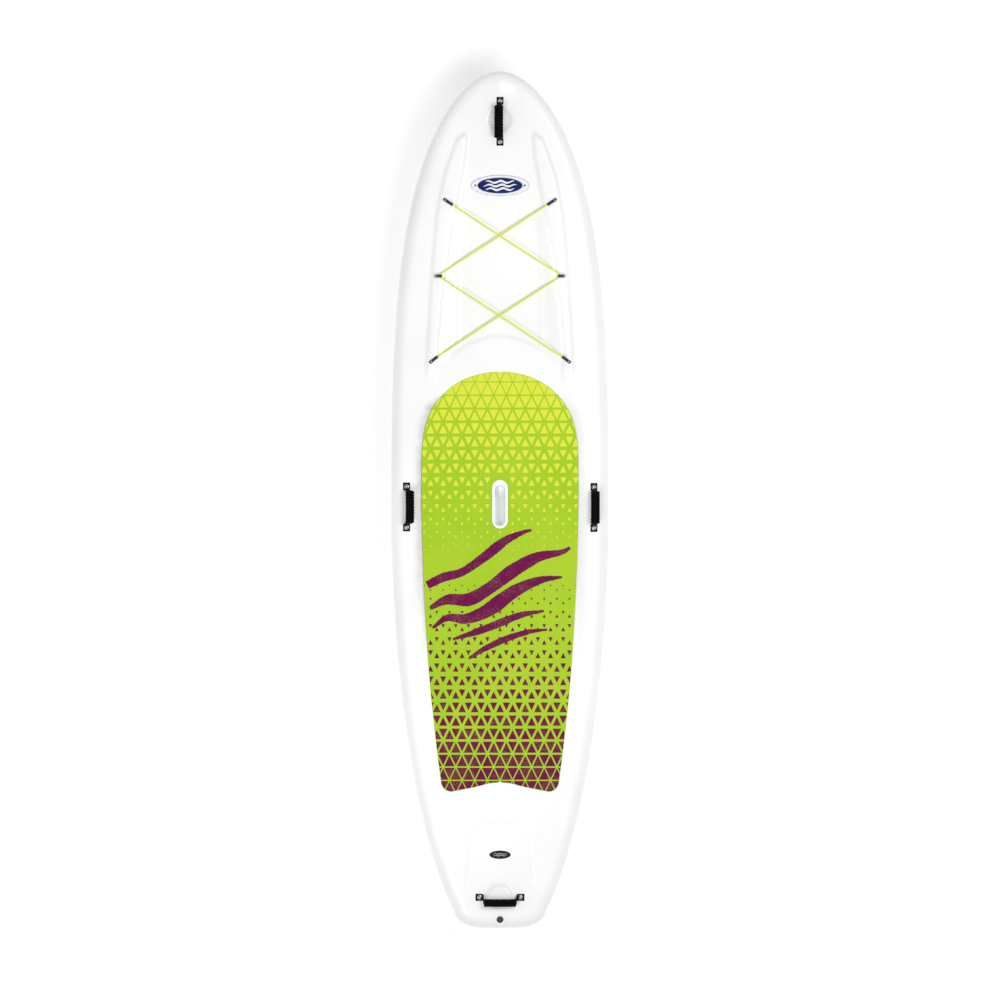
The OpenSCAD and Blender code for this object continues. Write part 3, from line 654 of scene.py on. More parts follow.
def painted_recess_shade(x, y):
    """Painted shade: how much the deck is darkened at the foot of the standing recess's walls, more on the left.
    """
    into = smoothstep(-4, 30, -distance(x, y, RECESS_LINE))
    left = np.where(x < 0, 1.0, 0.2)
    return left * into * smoothstep(-640, -150, y) * (1 - smoothstep(330, 400, y) * 0.6)


def shell(name, above, columns, material, hole, **more):
    """One closed half of the board: its outer skin from the seam to the flat, and a plain inner skin."""
    right = outline_right(380, 260, 26)
    last = len(right) - 1
    tail = np.c_[np.linspace(CORNER[0], -CORNER[0], columns + 1), np.full(columns + 1, -HALF_L)]
    left = right[::-1] * [-1, 1]
    ring = np.vstack([right, tail[1:-1], left[:-1]])
    n = len(ring)
    rail = DECK_RAIL if above else HULL_RAIL
    sign = 1 if above else -1

    def surface(x, y):
        return deck_top(y) + relief(x, y) if above else hull_z(y) + fin_seat(x, y)

    def level(q, p, rise, skin):
        seam = seam_z(p[:, 1])
        if skin:
            flat = deck_top(q[:, 1]) - skin if above else hull_z(q[:, 1]) + skin
        else:
            flat = surface(q[:, 0], q[:, 1])
        return seam + (flat - seam) * rise

    rings = []
    groove = inward(ring, SEAM_INSET)
    rings.append(np.c_[groove, seam_z(ring[:, 1])])
    for t in [0.0] + [((i + 1) / RAIL_ROWS) ** 1.5 for i in range(RAIL_ROWS)]:
        q = inward(ring, rail * t)
        z = level(q, ring, rail_rise(t), 0)
        rings.append(np.c_[q, z + (SEAM_LIP * sign if t == 0 else 0)])
    points = [np.vstack(rings)]
    faces = grid(len(rings), n, around=True)
    # Outer skin: rows from side to side between the last ring's two halves.
    edge = rings[-1]
    start = (len(rings) - 1) * n
    share = np.linspace(0, 1, columns + 1)[1:-1]
    extra, index = [], {}
    for k in range(1, last):
        r, l = edge[k], edge[(n - k) % n]
        x = r[0] + (l[0] - r[0]) * share
        y = np.full(len(x), r[1])
        index[k] = len(rings) * n + len(extra)
        extra += np.c_[x, y, surface(x, y)].tolist()
    points.append(np.array(extra))

    def row(k):
        if k == last:
            return [start + last + i for i in range(columns + 1)]
        return [start + k] + [index[k] + i for i in range(columns - 1)] + [start + (n - k) % n]
    coords = np.vstack(points)
    skin = []
    for k in range(1, last):
        a, b = row(k), row(k + 1)
        skin += [(a[i], b[i], b[i + 1], a[i + 1]) for i in range(columns)]
    first = row(1)
    skin += [(start, first[i], first[i + 1]) for i in range(columns)]
    faces += [f for f in skin if not all(hole(coords[i][0], coords[i][1]) for i in f)]
    # Inner skin: coarse, and joined to the outer one at the seam.
    base = len(coords)
    inner = [np.c_[groove, seam_z(ring[:, 1])]]
    for t in (0.12, 0.4, 1.0):
        q = inward(ring, WALL + (rail - WALL) * t)
        inner.append(np.c_[q, level(q, ring, rail_rise(t), WALL)])
    inside = np.vstack(inner[1:])
    faces += [(i, (i + 1) % n, base + (i + 1) % n, base + i) for i in range(n)]
    faces += grid(len(inner) - 1, n, around=True, start=base)
    end = base + (len(inner) - 2) * n
    # Its rows are split beside the centre line, and left open there where something passes through the shell.
    split = np.array([(s * min(INNER_SPLIT, p[0] / 2), p[1], p[2])
                      for p in inside[end - base + 1:end - base + last] for s in (1, -1)])
    cut = base + len(inside)
    inside = np.vstack([inside, split])
    through = [any(hole(0, p[1] + shift) for shift in (-12, 12)) for p in split[::2]]
    for k in range(1, last - 1):
        a, b = cut + 2 * (k - 1), cut + 2 * k
        faces += [(end + k, end + k + 1, b, a), (a + 1, b + 1, end + n - k - 1, end + n - k)]
        if not (through[k - 1] and through[k]):
            faces.append((a, b, b + 1, a + 1))
    a = cut + 2 * (last - 2)
    faces.append((end, end + 1, cut, cut + 1, end + n - 1))
    faces.append((a, *range(end + last - 1, end + n - last + 2), a + 1))
    used = sorted({i for f in faces for i in f})
    renumber = {old: new for new, old in enumerate(used)}
    everything = np.vstack([coords, inside])[used]
    faces = [tuple(renumber[i] for i in f) for f in faces]
    # The painted shade of the recess walls goes to the shell's material through the WEAVE map.
    shade_mask = painted_recess_shade(everything[:, 0], everything[:, 1]) if above else np.zeros(len(everything))
    return mesh(name, everything, faces, material, "board", uvs=np.c_[shade_mask / MM, shade_mask * 0], **more)


def fin_seat(x, y):
    """The underside is drawn in a little around the fin box, whose flange stands proud of it."""
    off = np.maximum(np.abs(x) - FLANGE[0], np.abs(y - FIN_BOX_Y) - FLANGE[1])
    lift = 0.5 + (hull_at_flange(y) - hull_z(y))
    return lift * (1 - smoothstep(2, 22, off))


def hull_at_flange(y):
    """Height of the fin box's outer face, which is flat and tilted with the tail."""
    return hull_z(FIN_BOX_Y) + FIN_SLOPE * (y - FIN_BOX_Y)


def in_stadium(x, y, w, l):
    return math.hypot(x, max(0.0, abs(y) - (l - w) / 2)) < w / 2


def stadium(w, l, n=24, cy=0.0, cx=0.0):
    """A stadium along Y, as a list of points."""
    r, run = w / 2, (l - w) / 2
    arc = [(r * math.cos(math.pi * i / n), run + r * math.sin(math.pi * i / n)) for i in range(n + 1)]
    return [(cx + x, cy + y) for x, y in arc + [(-x, -y) for x, y in arc]]


def oval(w, l):
    return [(w / 2 * math.cos(a), l / 2 * math.sin(a)) for a in turns(96)]


def make_shells(looks):
    shell("deck", True, 144, looks["shell"], lambda x, y: in_stadium(x, y - CARRY_Y, 48, 168),
          slot="white_shell", stands_for=["deck_shell"])
    shell("hull", False, 56, looks["hull"],
          lambda x, y: abs(x) < FLANGE[0] - 1 and abs(y - FIN_BOX_Y) < FLANGE[1] - 2,
          slot="white_shell", stands_for=["hull_shell"])


# ---------------------------------------------------------------- the mat and its print

ROW_TOP, ROW_PITCH, ROWS, CELL = 441.3, 49.62, 30, 47.2
PRINT_T = 0.35       # how far the print stands over the mat
# Share of its cell that a triangle fills, as (y, share).
YELLOW_FROM, PURPLE_TO = -240, -302
YELLOW_SIZE = [(YELLOW_FROM, 0.06), (-129, 0.18), (-80, 0.25), (-30, 0.33), (69, 0.47), (218, 0.61),
               (367, 0.80), (416, 0.87), (480, 0.9)]
PURPLE_SIZE = [(-1100, 0.88), (-1022, 0.85), (-973, 0.80), (-874, 0.70), (-774, 0.60), (-675, 0.49),
               (-576, 0.40), (PURPLE_TO, 0.12)]


def clipped(polygon, triangle):
    """The part of a polygon inside a convex triangle whose corners run anticlockwise."""
    out = list(polygon)
    for (ax, ay), (bx, by) in zip(triangle, triangle[1:] + triangle[:1]):
        def inside(p):
            return (bx - ax) * (p[1] - ay) - (by - ay) * (p[0] - ax) >= 0
        kept = []
        for p, q in zip(out, out[1:] + out[:1]):
            if inside(p):
                kept.append(p)
            if inside(p) != inside(q):
                d = (bx - ax) * (q[1] - p[1]) - (by - ay) * (q[0] - p[0])
                t = ((by - ay) * (p[0] - ax) - (bx - ax) * (p[1] - ay)) / d
                kept.append((p[0] + (q[0] - p[0]) * t, p[1] + (q[1] - p[1]) * t))
        out = kept
        if len(out) < 3:
            return []
    return out


def area(polygon):
    return 0.5 * sum(ax * by - bx * ay for (ax, ay), (bx, by) in zip(polygon, polygon[1:] + polygon[:1]))


def prism(build, polygon, low, high):
    if area(polygon) < 0:
        polygon = polygon[::-1]
    n = len(polygon)
    points = [(x, y, low) for x, y in polygon] + [(x, y, high) for x, y in polygon]
    faces = [tuple(range(n))[::-1], tuple(range(n, 2 * n))]
    faces += [(i, (i + 1) % n, n + (i + 1) % n, n + i) for i in range(n)]
    build.add(points, faces)


def make_print(looks):
    """Rows of triangles that shrink towards the middle of the mat, yellow ahead of it and purple aft."""
    border = pad_outline(-1.5)
    yellow, purple = Build(), Build()
    for row in range(-1, ROWS + 1):
        top = ROW_TOP - row * ROW_PITCH
        for k in range(-14, 15):
            for up in (True, False):
                # Corners of the lattice lie on the centre line on every second row line, from the first one.
                x = (k + (0.0 if (row % 2 == 0) == up else 0.5)) * CELL
                if up:
                    corners = [(x - CELL / 2, top - ROW_PITCH), (x + CELL / 2, top - ROW_PITCH), (x, top)]
                else:
                    corners = [(x + CELL / 2, top), (x - CELL / 2, top), (x, top - ROW_PITCH)]
                cx, cy = sum(p[0] for p in corners) / 3, sum(p[1] for p in corners) / 3
                ahead = cy > YELLOW_FROM
                if abs(cx) > 300 or PURPLE_TO < cy <= YELLOW_FROM:
                    continue
                scale = float(np.interp(cy, *zip(*(YELLOW_SIZE if ahead else PURPLE_SIZE))))
                build = yellow if ahead else purple
                small = [(cx + (px - cx) * scale, cy + (py - cy) * scale) for px, py in corners]
                if area(small) < 0:
                    small = small[::-1]
                if any(in_stadium(px, py - CARRY_Y, SLOT_W + 6, SLOT_L + 6) for px, py in small + [(cx, cy)]):
                    continue
                outside = distance([p[0] for p in small], [p[1] for p in small], border) > 0
                if outside.all() and distance([cx], [cy], border)[0] > 0:
                    continue
                shape = clipped(border, small) if outside.any() else small
                if len(shape) >= 3 and abs(area(shape)) > 4:
                    prism(build, shape, PAD_TOP - 0.2, PAD_TOP + PRINT_T)
    yellow.piece("pad_print_yellow", looks["yellow"], "board", slot="pad_mat", sharp=30)
    purple.piece("pad_print_purple", looks["purple"], "board", slot="pad_mat", sharp=30)


def stroke(build, centre, widths, rng, z):
    """A flat brush stroke along a smooth line, with slightly ragged edges."""
    line = smooth_path([(x, y, 0) for x, y in centre], 3.0)[:, :2]
    run = lengths(line)
    width = np.interp(run / run[-1], np.linspace(0, 1, len(widths)), widths)
    way = headings(line)
    side = np.c_[-way[:, 1], way[:, 0]]
    ragged = np.array([[rng.uniform(-0.9, 0.9) for _ in range(2)] for _ in line])
    left = line + side * (width / 2 + ragged[:, 0])[:, None]
    right = line - side * (width / 2 + ragged[:, 1])[:, None]
    n = len(line)
    low, high = z
    points = [(*p, h) for h in (low, high) for p in np.vstack([left, right])]
    faces = []
    for i in range(n - 1):
        a, b, c, d = i, i + 1, n + i + 1, n + i
        faces += [(a, b, c, d), (2 * n + d, 2 * n + c, 2 * n + b, 2 * n + a)]
        faces += [(a, 2 * n + a, 2 * n + b, b), (d, c, 2 * n + c, 2 * n + d)]
    faces += [(0, n, 3 * n, 2 * n), (n - 1, 3 * n - 1, 4 * n - 1, 2 * n - 1)]
    build.add(points, faces)


def make_strokes(looks):
    """Plain sweeping brush waves, in place of any lettering."""
    rng = random.Random(SEED)
    build = Build()
    runs = [                    # points along the stroke, and its widths from end to end
        ([(-272, -318), (-214, -290), (-140, -268), (-60, -214), (20, -152), (84, -122), (118, -112)],
         [30, 34, 30, 34, 38, 26, 8]),
        ([(-262, -404), (-196, -372), (-118, -372), (-40, -330), (52, -262), (140, -214), (226, -196),
          (262, -178)],
         [14, 40, 50, 44, 52, 46, 30, 12]),
        ([(-252, -478), (-196, -440), (-128, -444), (-46, -412), (56, -340), (148, -300), (232, -288)],
         [10, 30, 44, 56, 46, 30, 8]),
        ([(-176, -520), (-110, -500), (-26, -470), (70, -432), (164, -414)], [8, 26, 30, 24, 8]),
        ([(-116, -592), (-58, -556), (30, -516), (110, -492), (176, -484)], [10, 22, 24, 20, 7]),
    ]
    for centre, widths in runs:
        stroke(build, centre, widths, rng, (PAD_TOP - 0.2, PAD_TOP + PRINT_T + 0.25))
    build.piece("pad_strokes", looks["stroke"], "board", slot="pad_mat", sharp=30)


def make_pad(looks):
    plate("pad_mat", [pad_outline(), stadium(SLOT_W, SLOT_L, cy=CARRY_Y)], (FLOOR_Z, PAD_TOP), 0.9,
          looks["mat"], "board", slot="pad_mat", stands_for=["deck_pad"])
    make_print(looks)
    make_strokes(looks)


def make_cup(looks):
    """The carry well: a flange, a rounded lip, a sloped right wall and a finger groove under the left edge."""
    n = 32
    rings = []
    # width, length, middle in x and y, height, and how far the left side reaches under the lip
    levels = [(59.2, 182.2, 0, 0, 128.1, 0), (59.4, 182.4, 0, 0, 129.2, 0), (58.6, 181.6, 0, 0, 129.9, 0),
              (56, 179, 0, 0, 130.1, 0), (44, 163, 0, -3, 129.9, 0), (40.6, 158.5, 0, -4, 129.2, 0),
              (39, 156, 0, -4, 127.6, 0), (37.6, 154, -0.2, -4, 124, 0), (35.6, 150, -1.2, -5, 117, 0),
              (32.6, 144, -2.7, -7, 110.5, 0), (31.6, 142, -3.2, -8, 108.6, 1.5),
              (30.6, 140, -3.7, -9, 107, 9), (29, 137, -4.5, -10, 104.5, 12.6), (25, 130, -6.5, -13, 98, 13.6),
              (20, 121, -9, -16, 90, 13.4), (17, 115, -10.5, -18, 84.5, 12), (14, 109, -11.5, -19, 81.2, 9),
              (9, 100, -12.5, -20, 80.2, 5), (4, 92, -13, -20, 80, 1)]
    for w, l, cx, cy, z, under in levels:
        ring = []
        for x, y in stadium(w, l, n, cx=cx, cy=cy):
            reach = under * smoothstep(-2, -w / 2 + 1, x - cx) * (1 - smoothstep(44, 62, abs(y)))
            ring.append((float(x - reach), y + CARRY_Y, z))
        rings.append(ring)
    points, faces = loft(rings, capped=False)
    size = len(rings[0])
    faces.append(tuple(range((len(rings) - 1) * size, len(rings) * size)))
    cup = mesh("carry_well", points, faces, looks["cup"], "board", slot="white_shell", stands_for=["carry_cup"],
               closed=False)
    thick = cup.modifiers.new("thickness", "SOLIDIFY")
    thick.thickness, thick.offset = 1.6 * MM, -1


# ---------------------------------------------------------------- strap handles

TAB_IN, TAB_OUT, SCREW_X = 65.0, 91.0, 76.0
GRIP_L, GRIP_R, HINGE_H = 118.0, 34.0, 5.0
STRAP_W, STRAP_T = 26.0, 2.2
# x, y, turn about Z and lean of the grip at rest
HANDLES = {"nose": (0, 1413, 90, -8), "left": (-349, -26, 90, 22), "right": (351, -28, 90, 8),
           "tail": (0, -1484, 0, 36)}


def on_deck(x, y, lift=0.0, turn=0.0):
    """The frame of a fitting that stands on the deck, tilted with it."""
    tilt = math.atan(2 * DECK_CURVE * max(0.0, y - CURVE_FROM))
    return (Matrix.Translation((x, y, float(deck_top(y)))) @ Matrix.Rotation(tilt, 4, "X")
            @ Matrix.Translation((0, 0, lift)) @ Matrix.Rotation(math.radians(turn), 4, "Z"))


def strap_end(side, lean):
    """One strap: the screwed tab, and the leg that rises from it into the grip and turns with the lean."""
    path = smooth_path([(TAB_OUT, 0, -3.9), (83, 0, -3.9), (SCREW_X, 0, -3.9), (70, 0, -3.9), (66, 0, -3.5),
                        (64, 0, -0.8), (63.3, 0, 6), (62.6, 0, 16), (61.8, 0, 25), (60.6, 0, 31), (58, 0, 33.6),
                        (53, 0, 34), (45, 0, 34)], 1.0)
    way = headings(path)
    up = np.c_[way[:, 2], np.zeros(len(way)), -way[:, 0]]
    run = lengths(path)
    section = [(-1, -1), (-0.92, -1), (-0.5, -1), (0, -1), (0.5, -1), (0.92, -1), (1, -1),
               (1, 1), (0.92, 1), (0.5, 1), (0, 1), (-0.5, 1), (-0.92, 1), (-1, 1)]
    points, uvs = [], []
    for p, u, s in zip(path, up, run):
        turn = math.radians(lean) * float(smoothstep(TAB_IN, GRIP_L / 2, p[0]))
        # The webbing narrows a little where it folds up.
        w = STRAP_W / 2 * (1 - 0.12 * math.exp(-((p[0] - 63) / 3.0) ** 2))
        for a, b in section:
            thin = STRAP_T / 2 * (0.45 if abs(a) == 1 else 1.0)
            q = p + u * b * thin + np.array([0, a * w, 0])
            c, sn = math.cos(turn), math.sin(turn)
            points.append((side * q[0], q[1] * c - q[2] * sn, q[1] * sn + q[2] * c))
            uvs.append((s, a * w))
    n = len(section)
    faces = grid(len(path), n, around=True)
    faces += [tuple(range(n))[::-1], tuple(range((len(path) - 1) * n, len(path) * n))]
    return points, faces, uvs


def grip_solid(lean):
    """A ribbed rubber sleeve, slightly arched, with a collar at each end."""
    steps, around = 150, 40
    rings = []
    for i in range(steps + 1):
        s = i / steps * 2 - 1
        x = s * GRIP_L / 2
        rib = 0.5 - 0.5 * math.cos(2 * math.pi * x / 11.0)
        body = abs(x) < 52.0
        a, b = 17.4, 9.7
        if body:
            a, b = a - 0.1 - 1.6 * rib, b - 0.3 - 1.6 * rib
        end = max(0.0, (abs(x) - 56.4) / 2.6)
        a, b = a - 2.6 * end ** 2, b - 2.4 * end ** 2
        rings.append([(x, a * math.copysign(abs(math.cos(t)) ** 0.75, math.cos(t)),
                       b * math.copysign(abs(math.sin(t)) ** 0.85, math.sin(t)) - 1.6 * s * s + 0.6)
                      for t in turns(around)])
    for s in (-1, 1):                       # the mouths that the webbing goes into
        ring = rings[0] if s < 0 else rings[-1]
        for share, depth in ((0.86, 0.0), (0.82, 5.0)):
            inner = [(p[0] - s * depth, p[1] * share, -1.0 + (p[2] + 1.0) * share * 0.45) for p in ring]
            rings = [inner] + rings if s < 0 else rings + [inner]
    points, faces = loft(rings)
    place = Matrix.Rotation(math.radians(lean), 4, "X") @ Matrix.Translation((0, 0, GRIP_R))
    return [tuple(place @ Vector(p)) for p in points], faces


def screw_solids(build, place):
    """A washer and a button-head screw with a hex socket, with their feet at the place's origin."""
    build.add(*lathe([(3.3, 0), (8.6, 0), (9, 0.25), (9, 0.95), (8.6, 1.2), (3.3, 1.2)], 40), place)

    def shape(angle, step):
        if step not in (9, 10):             # the socket's own steps of the profile
            return 1.0
        a = (angle + math.pi / 6) % (math.pi / 3) - math.pi / 6
        return 0.88 / math.cos(a)
    build.add(*lathe([(3.0, -11), (3.0, 1.25), (6.6, 1.25), (7, 1.5), (6.9, 2.2), (6.3, 3.2), (5.2, 4.1),
                      (4.0, 4.6), (3.3, 4.7), (3.1, 4.5), (3.0, 2.6), (0.6, 2.2)], 48, shape), place)


def make_handle(name, looks):
    x, y, turn, lean = HANDLES[name]
    base = on_deck(x, y, 0, turn)
    hinge = on_deck(x, y, HINGE_H, turn)
    handle = name + "_handle"
    for side, label in ((1, "a"), (-1, "b")):
        points, faces, uvs = strap_end(side, lean)
        build = Build().add(points, faces, hinge, uvs)
        strap = build.piece(f"{name}_webbing_{label}", looks["webbing"], None, slot="webbing",
                            stands_for=[f"{name}_strap_tabs", f"{name}_strap_loop"], sharp=50)
        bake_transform(strap)
    points, faces = grip_solid(lean)
    Build().add(points, faces, hinge).piece(f"{name}_grip_ribbed", looks["rubber"], handle, slot="grip_rubber",
                                            stands_for=[f"{name}_grip"], sharp=60)
    screws, stitches = Build(), Build()
    stitch = loft([[(u, r * math.cos(t), r * math.sin(t) + 0.05) for t in turns(6)]
                   for u, r in ((-1.3, 0.12), (-0.9, 0.3), (0, 0.38), (0.9, 0.3), (1.3, 0.12))])
    for side in (-1, 1):
        screw_solids(screws, base @ Matrix.Translation((side * SCREW_X, 0, STRAP_T)))
        for sx, sy in [(side * 66.2, (j - 2.5) * 3.8) for j in range(6)] + \
                      [(side * (67.6 + i * 3.5), edge) for i in range(7) for edge in (-11.2, 11.2)]:
            along = abs(sy) < 11                # a stitch of the row across the strap, by the fold
            seat = (base @ Matrix.Translation((sx, sy, STRAP_T))
                    @ Matrix.Rotation(math.pi / 2 if along else 0, 4, "Z"))
            stitches.add(*stitch, seat)
    screws.piece(f"{name}_fixings", looks["steel"], "board", slot="steel", sharp=35,
                 stands_for=[f"{name}_screws", f"{name}_washers"])
    stitches.piece(f"{name}_stitches", looks["thread"], "board", slot="webbing", sharp=60)


# ---------------------------------------------------------------- bungee

POST_X, POST_Y, CORD_R, CORD_H, CROSS_H = 221.0, 838.0, 3.0, 5.4, 3.3
BEND_R = 2.5 + CORD_R + 0.2
FRONT_RIVET, REAR_RIVET, FRONT_START, REAR_START = (204, 1120), (257, 517), (177, 1102), (233, 535)


def ridge_top(y):
    return float(deck_top(y)) + RIDGE_H


def cord_end(start, rivet):
    run = math.dist(start, rivet)
    x, y = (s + (r - s) * 7 / run for s, r in zip(start, rivet))
    return np.array([-x, y, ridge_top(y) + CORD_H])


def cord_route(up):
    a, b = cord_end(FRONT_START, FRONT_RIVET), cord_end(REAR_START, REAR_RIVET)
    z = ridge_top(POST_Y) + CORD_H
    m = np.array([POST_X + BEND_R, POST_Y, z])

    def passing(p, q, x, lift):
        return p + (q - p) * (x - p[0]) / (q[0] - p[0]) + np.array([0, 0, lift])
    near = ((40, 0.2), (0, 1), (-40, 0.2))
    return ([a] + [passing(a, m, -x, up * h * CROSS_H) for x, h in near]
            + [np.array([POST_X + BEND_R * math.cos(t), POST_Y + BEND_R * math.sin(t), z])
               for t in map(math.radians, (57, 30, 0, -30, -57))]
            + [passing(m, b, x, -up * h * CROSS_H) for x, h in near] + [b])


def make_cord(name, route, looks):
    path = []
    for i in range(len(route) - 1):          # straight runs, with a gentle hump at each crossing
        n = max(2, int(np.linalg.norm(route[i + 1] - route[i]) / 2.5))
        path += [route[i] + (route[i + 1] - route[i]) * k / n for k in range(n)]
    path = np.array(path + [route[-1]])
    for _ in range(6):
        path[1:-1] = path[1:-1] * 0.5 + (path[:-2] + path[2:]) * 0.25
    way = headings(path)
    flat = np.cross(way, [0, 0, 1])
    flat /= np.linalg.norm(flat, axis=1, keepdims=True)
    up = np.cross(flat, way)
    run = lengths(path)
    sides = 17
    points, uvs = [], []
    for p, f, u, s in zip(path, flat, up, run):
        for k in range(sides):
            t = 2 * math.pi * k / (sides - 1)
            points.append(tuple(p + CORD_R * (math.cos(t) * f + math.sin(t) * u)))
            uvs.append((s, CORD_R * t))
    faces = grid(len(path), sides)
    faces += [tuple(range(sides - 1)), tuple(range((len(path) - 1) * sides, len(path) * sides - 1))]
    mesh(name + "_braided", points, faces, looks["braid"], "board", slot="elastic_cord", stands_for=[name],
         sharp=80, uvs=uvs)


def make_bungee(looks):
    low = cord_route(-1)
    high = [np.array([-p[0], p[1], p[2]]) for p in cord_route(1)]
    make_cord("bungee_cord_a", low, looks)
    make_cord("bungee_cord_b", high, looks)
    sleeves = Build()
    for s in (-1, 1):
        for rivet, start in ((FRONT_RIVET, FRONT_START), (REAR_RIVET, REAR_START)):
            turn = math.degrees(math.atan2(start[1] - rivet[1], s * (start[0] - rivet[0])))
            base = on_deck(s * rivet[0], rivet[1], RIDGE_H + 0.1, turn)
            run = math.dist(rivet, start)
            # A crimped sleeve on the cord, flattened into an eye under the rivet.
            profile = [(-8.5, 3.2, 1.6), (-7, 5.4, 1.9), (0, 6.4, 2.0), (6, 5.6, 2.0), (9, 5.2, 3.2),
                       (12, 5.3, 5.0), (14, 5.5, 5.4)]
            crimps = [run - 15.5, run - 8.5]
            for x in np.arange(15.0, run + 0.1, 0.8):
                pinch = sum(0.75 * math.exp(-((x - c) / 1.1) ** 2) for c in crimps)
                profile.append((x, 5.4 - pinch, 5.4 - pinch))
            profile += [(run + 0.4, 5.0, 5.0), (run + 0.5, 3.9, 3.9), (run - 1.5, 3.4, 3.4)]
            rings = [[(x, w * math.cos(t), max(0.05, (min(CORD_H, h) if h < 5 else CORD_H) + h * math.sin(t)))
                      for t in turns(28)] for x, w, h in profile]
            sleeves.add(*loft(rings), base)
    sleeves.piece("bungee_sleeves", looks["plastic"], "board", slot="black_plastic", sharp=50,
                  stands_for=["bungee_ferrules"])


# ---------------------------------------------------------------- badge, label, drain and fin

def wave_mark(build, place, half, amplitude, rows, pitch, width, z, keep_in):
    """Plain wavy bars, as a neutral decoration inside an oval."""
    for j in range(rows):
        y0 = (j - (rows - 1) / 2) * pitch
        reach = half * math.sqrt(max(0.0, 1 - (y0 / keep_in) ** 2))
        xs = np.linspace(-reach, reach, 60)
        ys = y0 + amplitude * np.sin(xs / half * 2.6 * math.pi + j * 0.6)
        w = width * np.sqrt(np.clip(1 - (xs / (reach + 1e-6)) ** 2, 0.02, 1))
        outline = list(zip(xs, ys + w / 2)) + list(zip(xs[::-1], (ys - w / 2)[::-1]))
        n = len(outline)
        half_n = n // 2
        points = [(x, y, h) for h in z for x, y in outline]
        faces = []
        for i in range(half_n - 1):
            a, b, c, d = i, i + 1, n - 2 - i, n - 1 - i
            faces += [(a, b, c, d), (n + d, n + c, n + b, n + a), (a, n + a, n + b, b), (d, c, n + c, n + d)]
        faces += [(0, n - 1, 2 * n - 1, n), (half_n - 1, n + half_n - 1, n + half_n, half_n)]
        build.add(points, faces, place)


def make_badge(looks):
    place = on_deck(0, 1174, 0.3)
    plate("badge_oval", [oval(214, 74), oval(168, 59)], (0, 3.3), 1.2, looks["badge"], "board", place,
          slot="white_shell", stands_for=["badge_plate"])
    # A silver edge ring round the white oval. Its grey also stands in for the soft shadow along the oval's edge,
    # as a painted shadow.
    plate("badge_edge", [oval(218, 78), oval(212.5, 72.5)], (0, 2.2), 0.8, looks["silver"], "board", place,
          slot="steel")
    plate("badge_rim", [oval(172.5, 62.5), oval(166.5, 57.5)], (0.4, 4.0), 0.7, looks["silver"], "board", place,
          slot="steel")
    plate("badge_face", [oval(167.5, 58)], (0.4, 3.0), 0.3, looks["navy"], "board", place,
          slot="navy_inlay", stands_for=["badge_inlay"])
    mark = Build()
    wave_mark(mark, place, 62, 3.6, 3, 13.5, 8.0, (2.8, 3.6), 27)
    mark.piece("badge_waves", looks["badge"], "board", slot="white_shell", sharp=40)


def make_label(looks):
    place = on_deck(0, -1325)
    plate("tail_label_oval", [oval(80, 31)], (-0.5, 1.0), 0.3, looks["label"], "board", place,
          slot="label_black", stands_for=["tail_label"])
    mark = Build()
    wave_mark(mark, place, 27, 1.3, 2, 6.4, 2.2, (0.9, 1.2), 12)
    mark.piece("tail_label_waves", looks["silver"], "board", slot="label_black", sharp=40)


def make_drain(looks):
    y, top = -1567, DECK_Z
    boss = Matrix.Translation((0, y, top))
    Build().add(*lathe([(10.1, -6), (24, -3), (20.5, -0.2), (19.2, 0.5), (18.2, 1.3), (17.2, 1.55), (11, 1.55),
                        (10.2, 1.2)], 72), boss).piece("drain_boss", looks["shell"], "board", slot="white_shell",
                                                       sharp=60)
    plug = Build()
    knurl = 36

    def shape(angle, step):
        return 1 + 0.022 * (0.5 + 0.5 * math.cos(knurl * angle)) if 2 <= step <= 4 else 1.0
    plug.add(*lathe([(6.9, -12), (6.9, 0), (12.2, 0), (12.2, 2.9), (11.8, 3.6), (11.0, 4.0), (6, 4.05),
                     (0.5, 4.05)], 144, shape), Matrix.Translation((0, y, top + 3.0)))
    cap = plug.piece("drain_plug_knurled", looks["plastic"], "plug", slot="black_plastic", sharp=40,
                     stands_for=["drain_plug"])
    # The coin slot is cut into the cap.
    cutter = bmesh.new()
    bmesh.ops.create_cube(cutter, size=1, matrix=Matrix.Translation((0, y * MM, (top + 8) * MM))
                          @ Matrix.Diagonal((0.018, 0.0028, 0.0064, 1)))
    tool_mesh = bpy.data.meshes.new("slot_tool")
    cutter.to_mesh(tool_mesh)
    cutter.free()
    tool = bpy.data.objects.new("slot_tool", tool_mesh)
    bpy.context.scene.collection.objects.link(tool)
    cut = cap.modifiers.new("slot", "BOOLEAN")
    cut.operation, cut.object, cut.solver = "DIFFERENCE", tool, "EXACT"
    whole = bpy.data.meshes.new_from_object(cap.evaluated_get(bpy.context.evaluated_depsgraph_get()))
    cap.modifiers.clear()
    cap.data = whole
    bpy.data.objects.remove(tool)


FIN_HALF_T, FIN_FULL_CHORD = 4.55, 138.0     # half thickness, full from this chord up
FIN_FRONT, FIN_BACK, FIN_DEPTH = 62.0, -98.0, 215.0


def fin_profile():
    """The blade's side outline in the fin box's frame, as (y, z)."""
    front, back, depth = FIN_FRONT, FIN_BACK, FIN_DEPTH
    tip = (back - 62, -depth)

    def swept(a, b, c, n):
        return [tuple((1 - t) ** 2 * p + 2 * t * (1 - t) * q + t * t * r for p, q, r in zip(a, b, c))
                for t in (i / n for i in range(n + 1))]
    return (swept((front, -1), (front - 34, -0.72 * depth), (tip[0] + 22, tip[1] + 6), 40)
            + swept((tip[0] + 12, tip[1]), (tip[0] - 6, tip[1] - 4), (tip[0] - 12, tip[1] + 12), 12)
            + swept((tip[0] - 8, tip[1] + 30), (back + 14, -0.52 * depth), (back + 22, -1), 40))


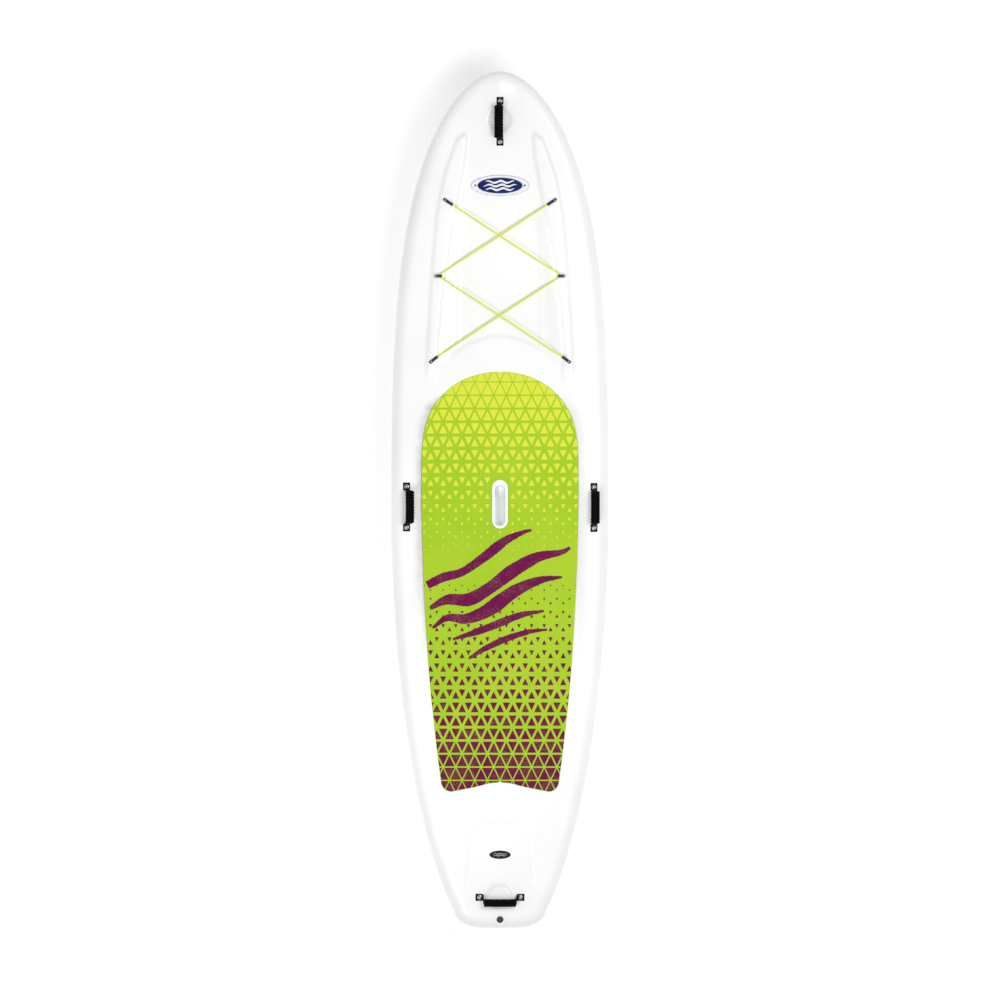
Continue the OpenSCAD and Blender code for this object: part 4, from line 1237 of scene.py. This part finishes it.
def make_fin(looks):
    place = (Matrix.Translation((0, FIN_BOX_Y, float(hull_z(FIN_BOX_Y))))
             @ Matrix.Rotation(math.atan(FIN_SLOPE), 4, "X"))
    outline = fin_profile()
    lowest = min(z for _, z in outline)
    build = Build()
    rings = []
    around = 28
    for i in range(49):
        z = -1 + (lowest + 1.05) * (1 - (1 - i / 48) ** 1.35)
        cuts = []
        for (ay, az), (by, bz) in zip(outline, outline[1:] + outline[:1]):
            if (az - z) * (bz - z) <= 0 and az != bz:
                cuts.append(ay + (by - ay) * (z - az) / (bz - az))
        y0, y1 = min(cuts), max(cuts)
        chord = y1 - y0
        thick = FIN_HALF_T * min(1.0, 0.25 + 0.75 * (chord / FIN_FULL_CHORD) ** 0.9)
        ring = []
        for k in range(around):
            a = 2 * math.pi * k / around
            c = 0.5 + 0.5 * math.cos(a)                     # 1 at the leading edge, 0 at the trailing edge
            foil = 1.7 * math.sqrt(max(0, 1 - c)) * c ** 0.75 + 0.06
            half = math.copysign(min(1.0, foil) * thick, math.sin(a)) if k % (around // 2) else 0.0
            ring.append((half, y0 + chord * c, z))
        rings.append(ring)
    points, faces = loft(rings)
    build.add(points, faces, place)
    build.piece("fin_blade", looks["fin"], "fin_set", slot="fin_black", sharp=50, stands_for=["fin"])
    root = Build()
    profile = [(FIN_BACK, -1.0), (FIN_FRONT, -1.0), (FIN_FRONT, 1), (84, 1), (84, 7), (FIN_FRONT, 7),
               (FIN_FRONT, 20.9), (FIN_BACK, 20.9)]
    n = len(profile)
    root.add([(x, a, b) for x in (-4.6, 4.6) for a, b in profile],
             [tuple(range(n)), tuple(range(n, 2 * n))[::-1]]
             + [(i, n + i, n + (i + 1) % n, (i + 1) % n) for i in range(n)], place)
    soften(root.piece("fin_root", looks["fin"], "fin_set", slot="fin_black", sharp=35), 0.5)


CAD_LOOKS = {
    "foam": ["foam_left", "foam_right", "foam_nose", "foam_tail"],
    "brass": ["threaded_inserts", "fin_plate_nut", "fin_cross_pin"],
    "plastic": ["deck_plugs", "badge_pins", "bungee_pad_eyes", "fin_box"],
    "grey": ["drain_bush"],
    "seal": ["drain_seal"],
    "steel": ["bungee_rivets", "fin_screw"],
}
ROUNDED = {"deck_plugs": 0.3, "badge_pins": 0.3, "bungee_pad_eyes": 0.5, "bungee_rivets": 0.25, "fin_box": 0.5,
           "drain_bush": 0.3, "drain_seal": 0.3, "fin_screw": 0.2}


def dress_frame(looks):
    """Materials and softened edges for the CAD nodes that stay."""
    for look, names in CAD_LOOKS.items():
        for name in names:
            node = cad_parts[name]
            for place in node.material_slots:
                place.material = looks[look]
            if name in ROUNDED:
                soften(node, ROUNDED[name])


make_camera()
make_studio()
LOOKS = make_finishes()
make_shells(LOOKS)
make_pad(LOOKS)
make_cup(LOOKS)
for handle_name in HANDLES:
    make_handle(handle_name, LOOKS)
make_bungee(LOOKS)
make_badge(LOOKS)
make_label(LOOKS)
make_drain(LOOKS)
make_fin(LOOKS)
dress_frame(LOOKS)
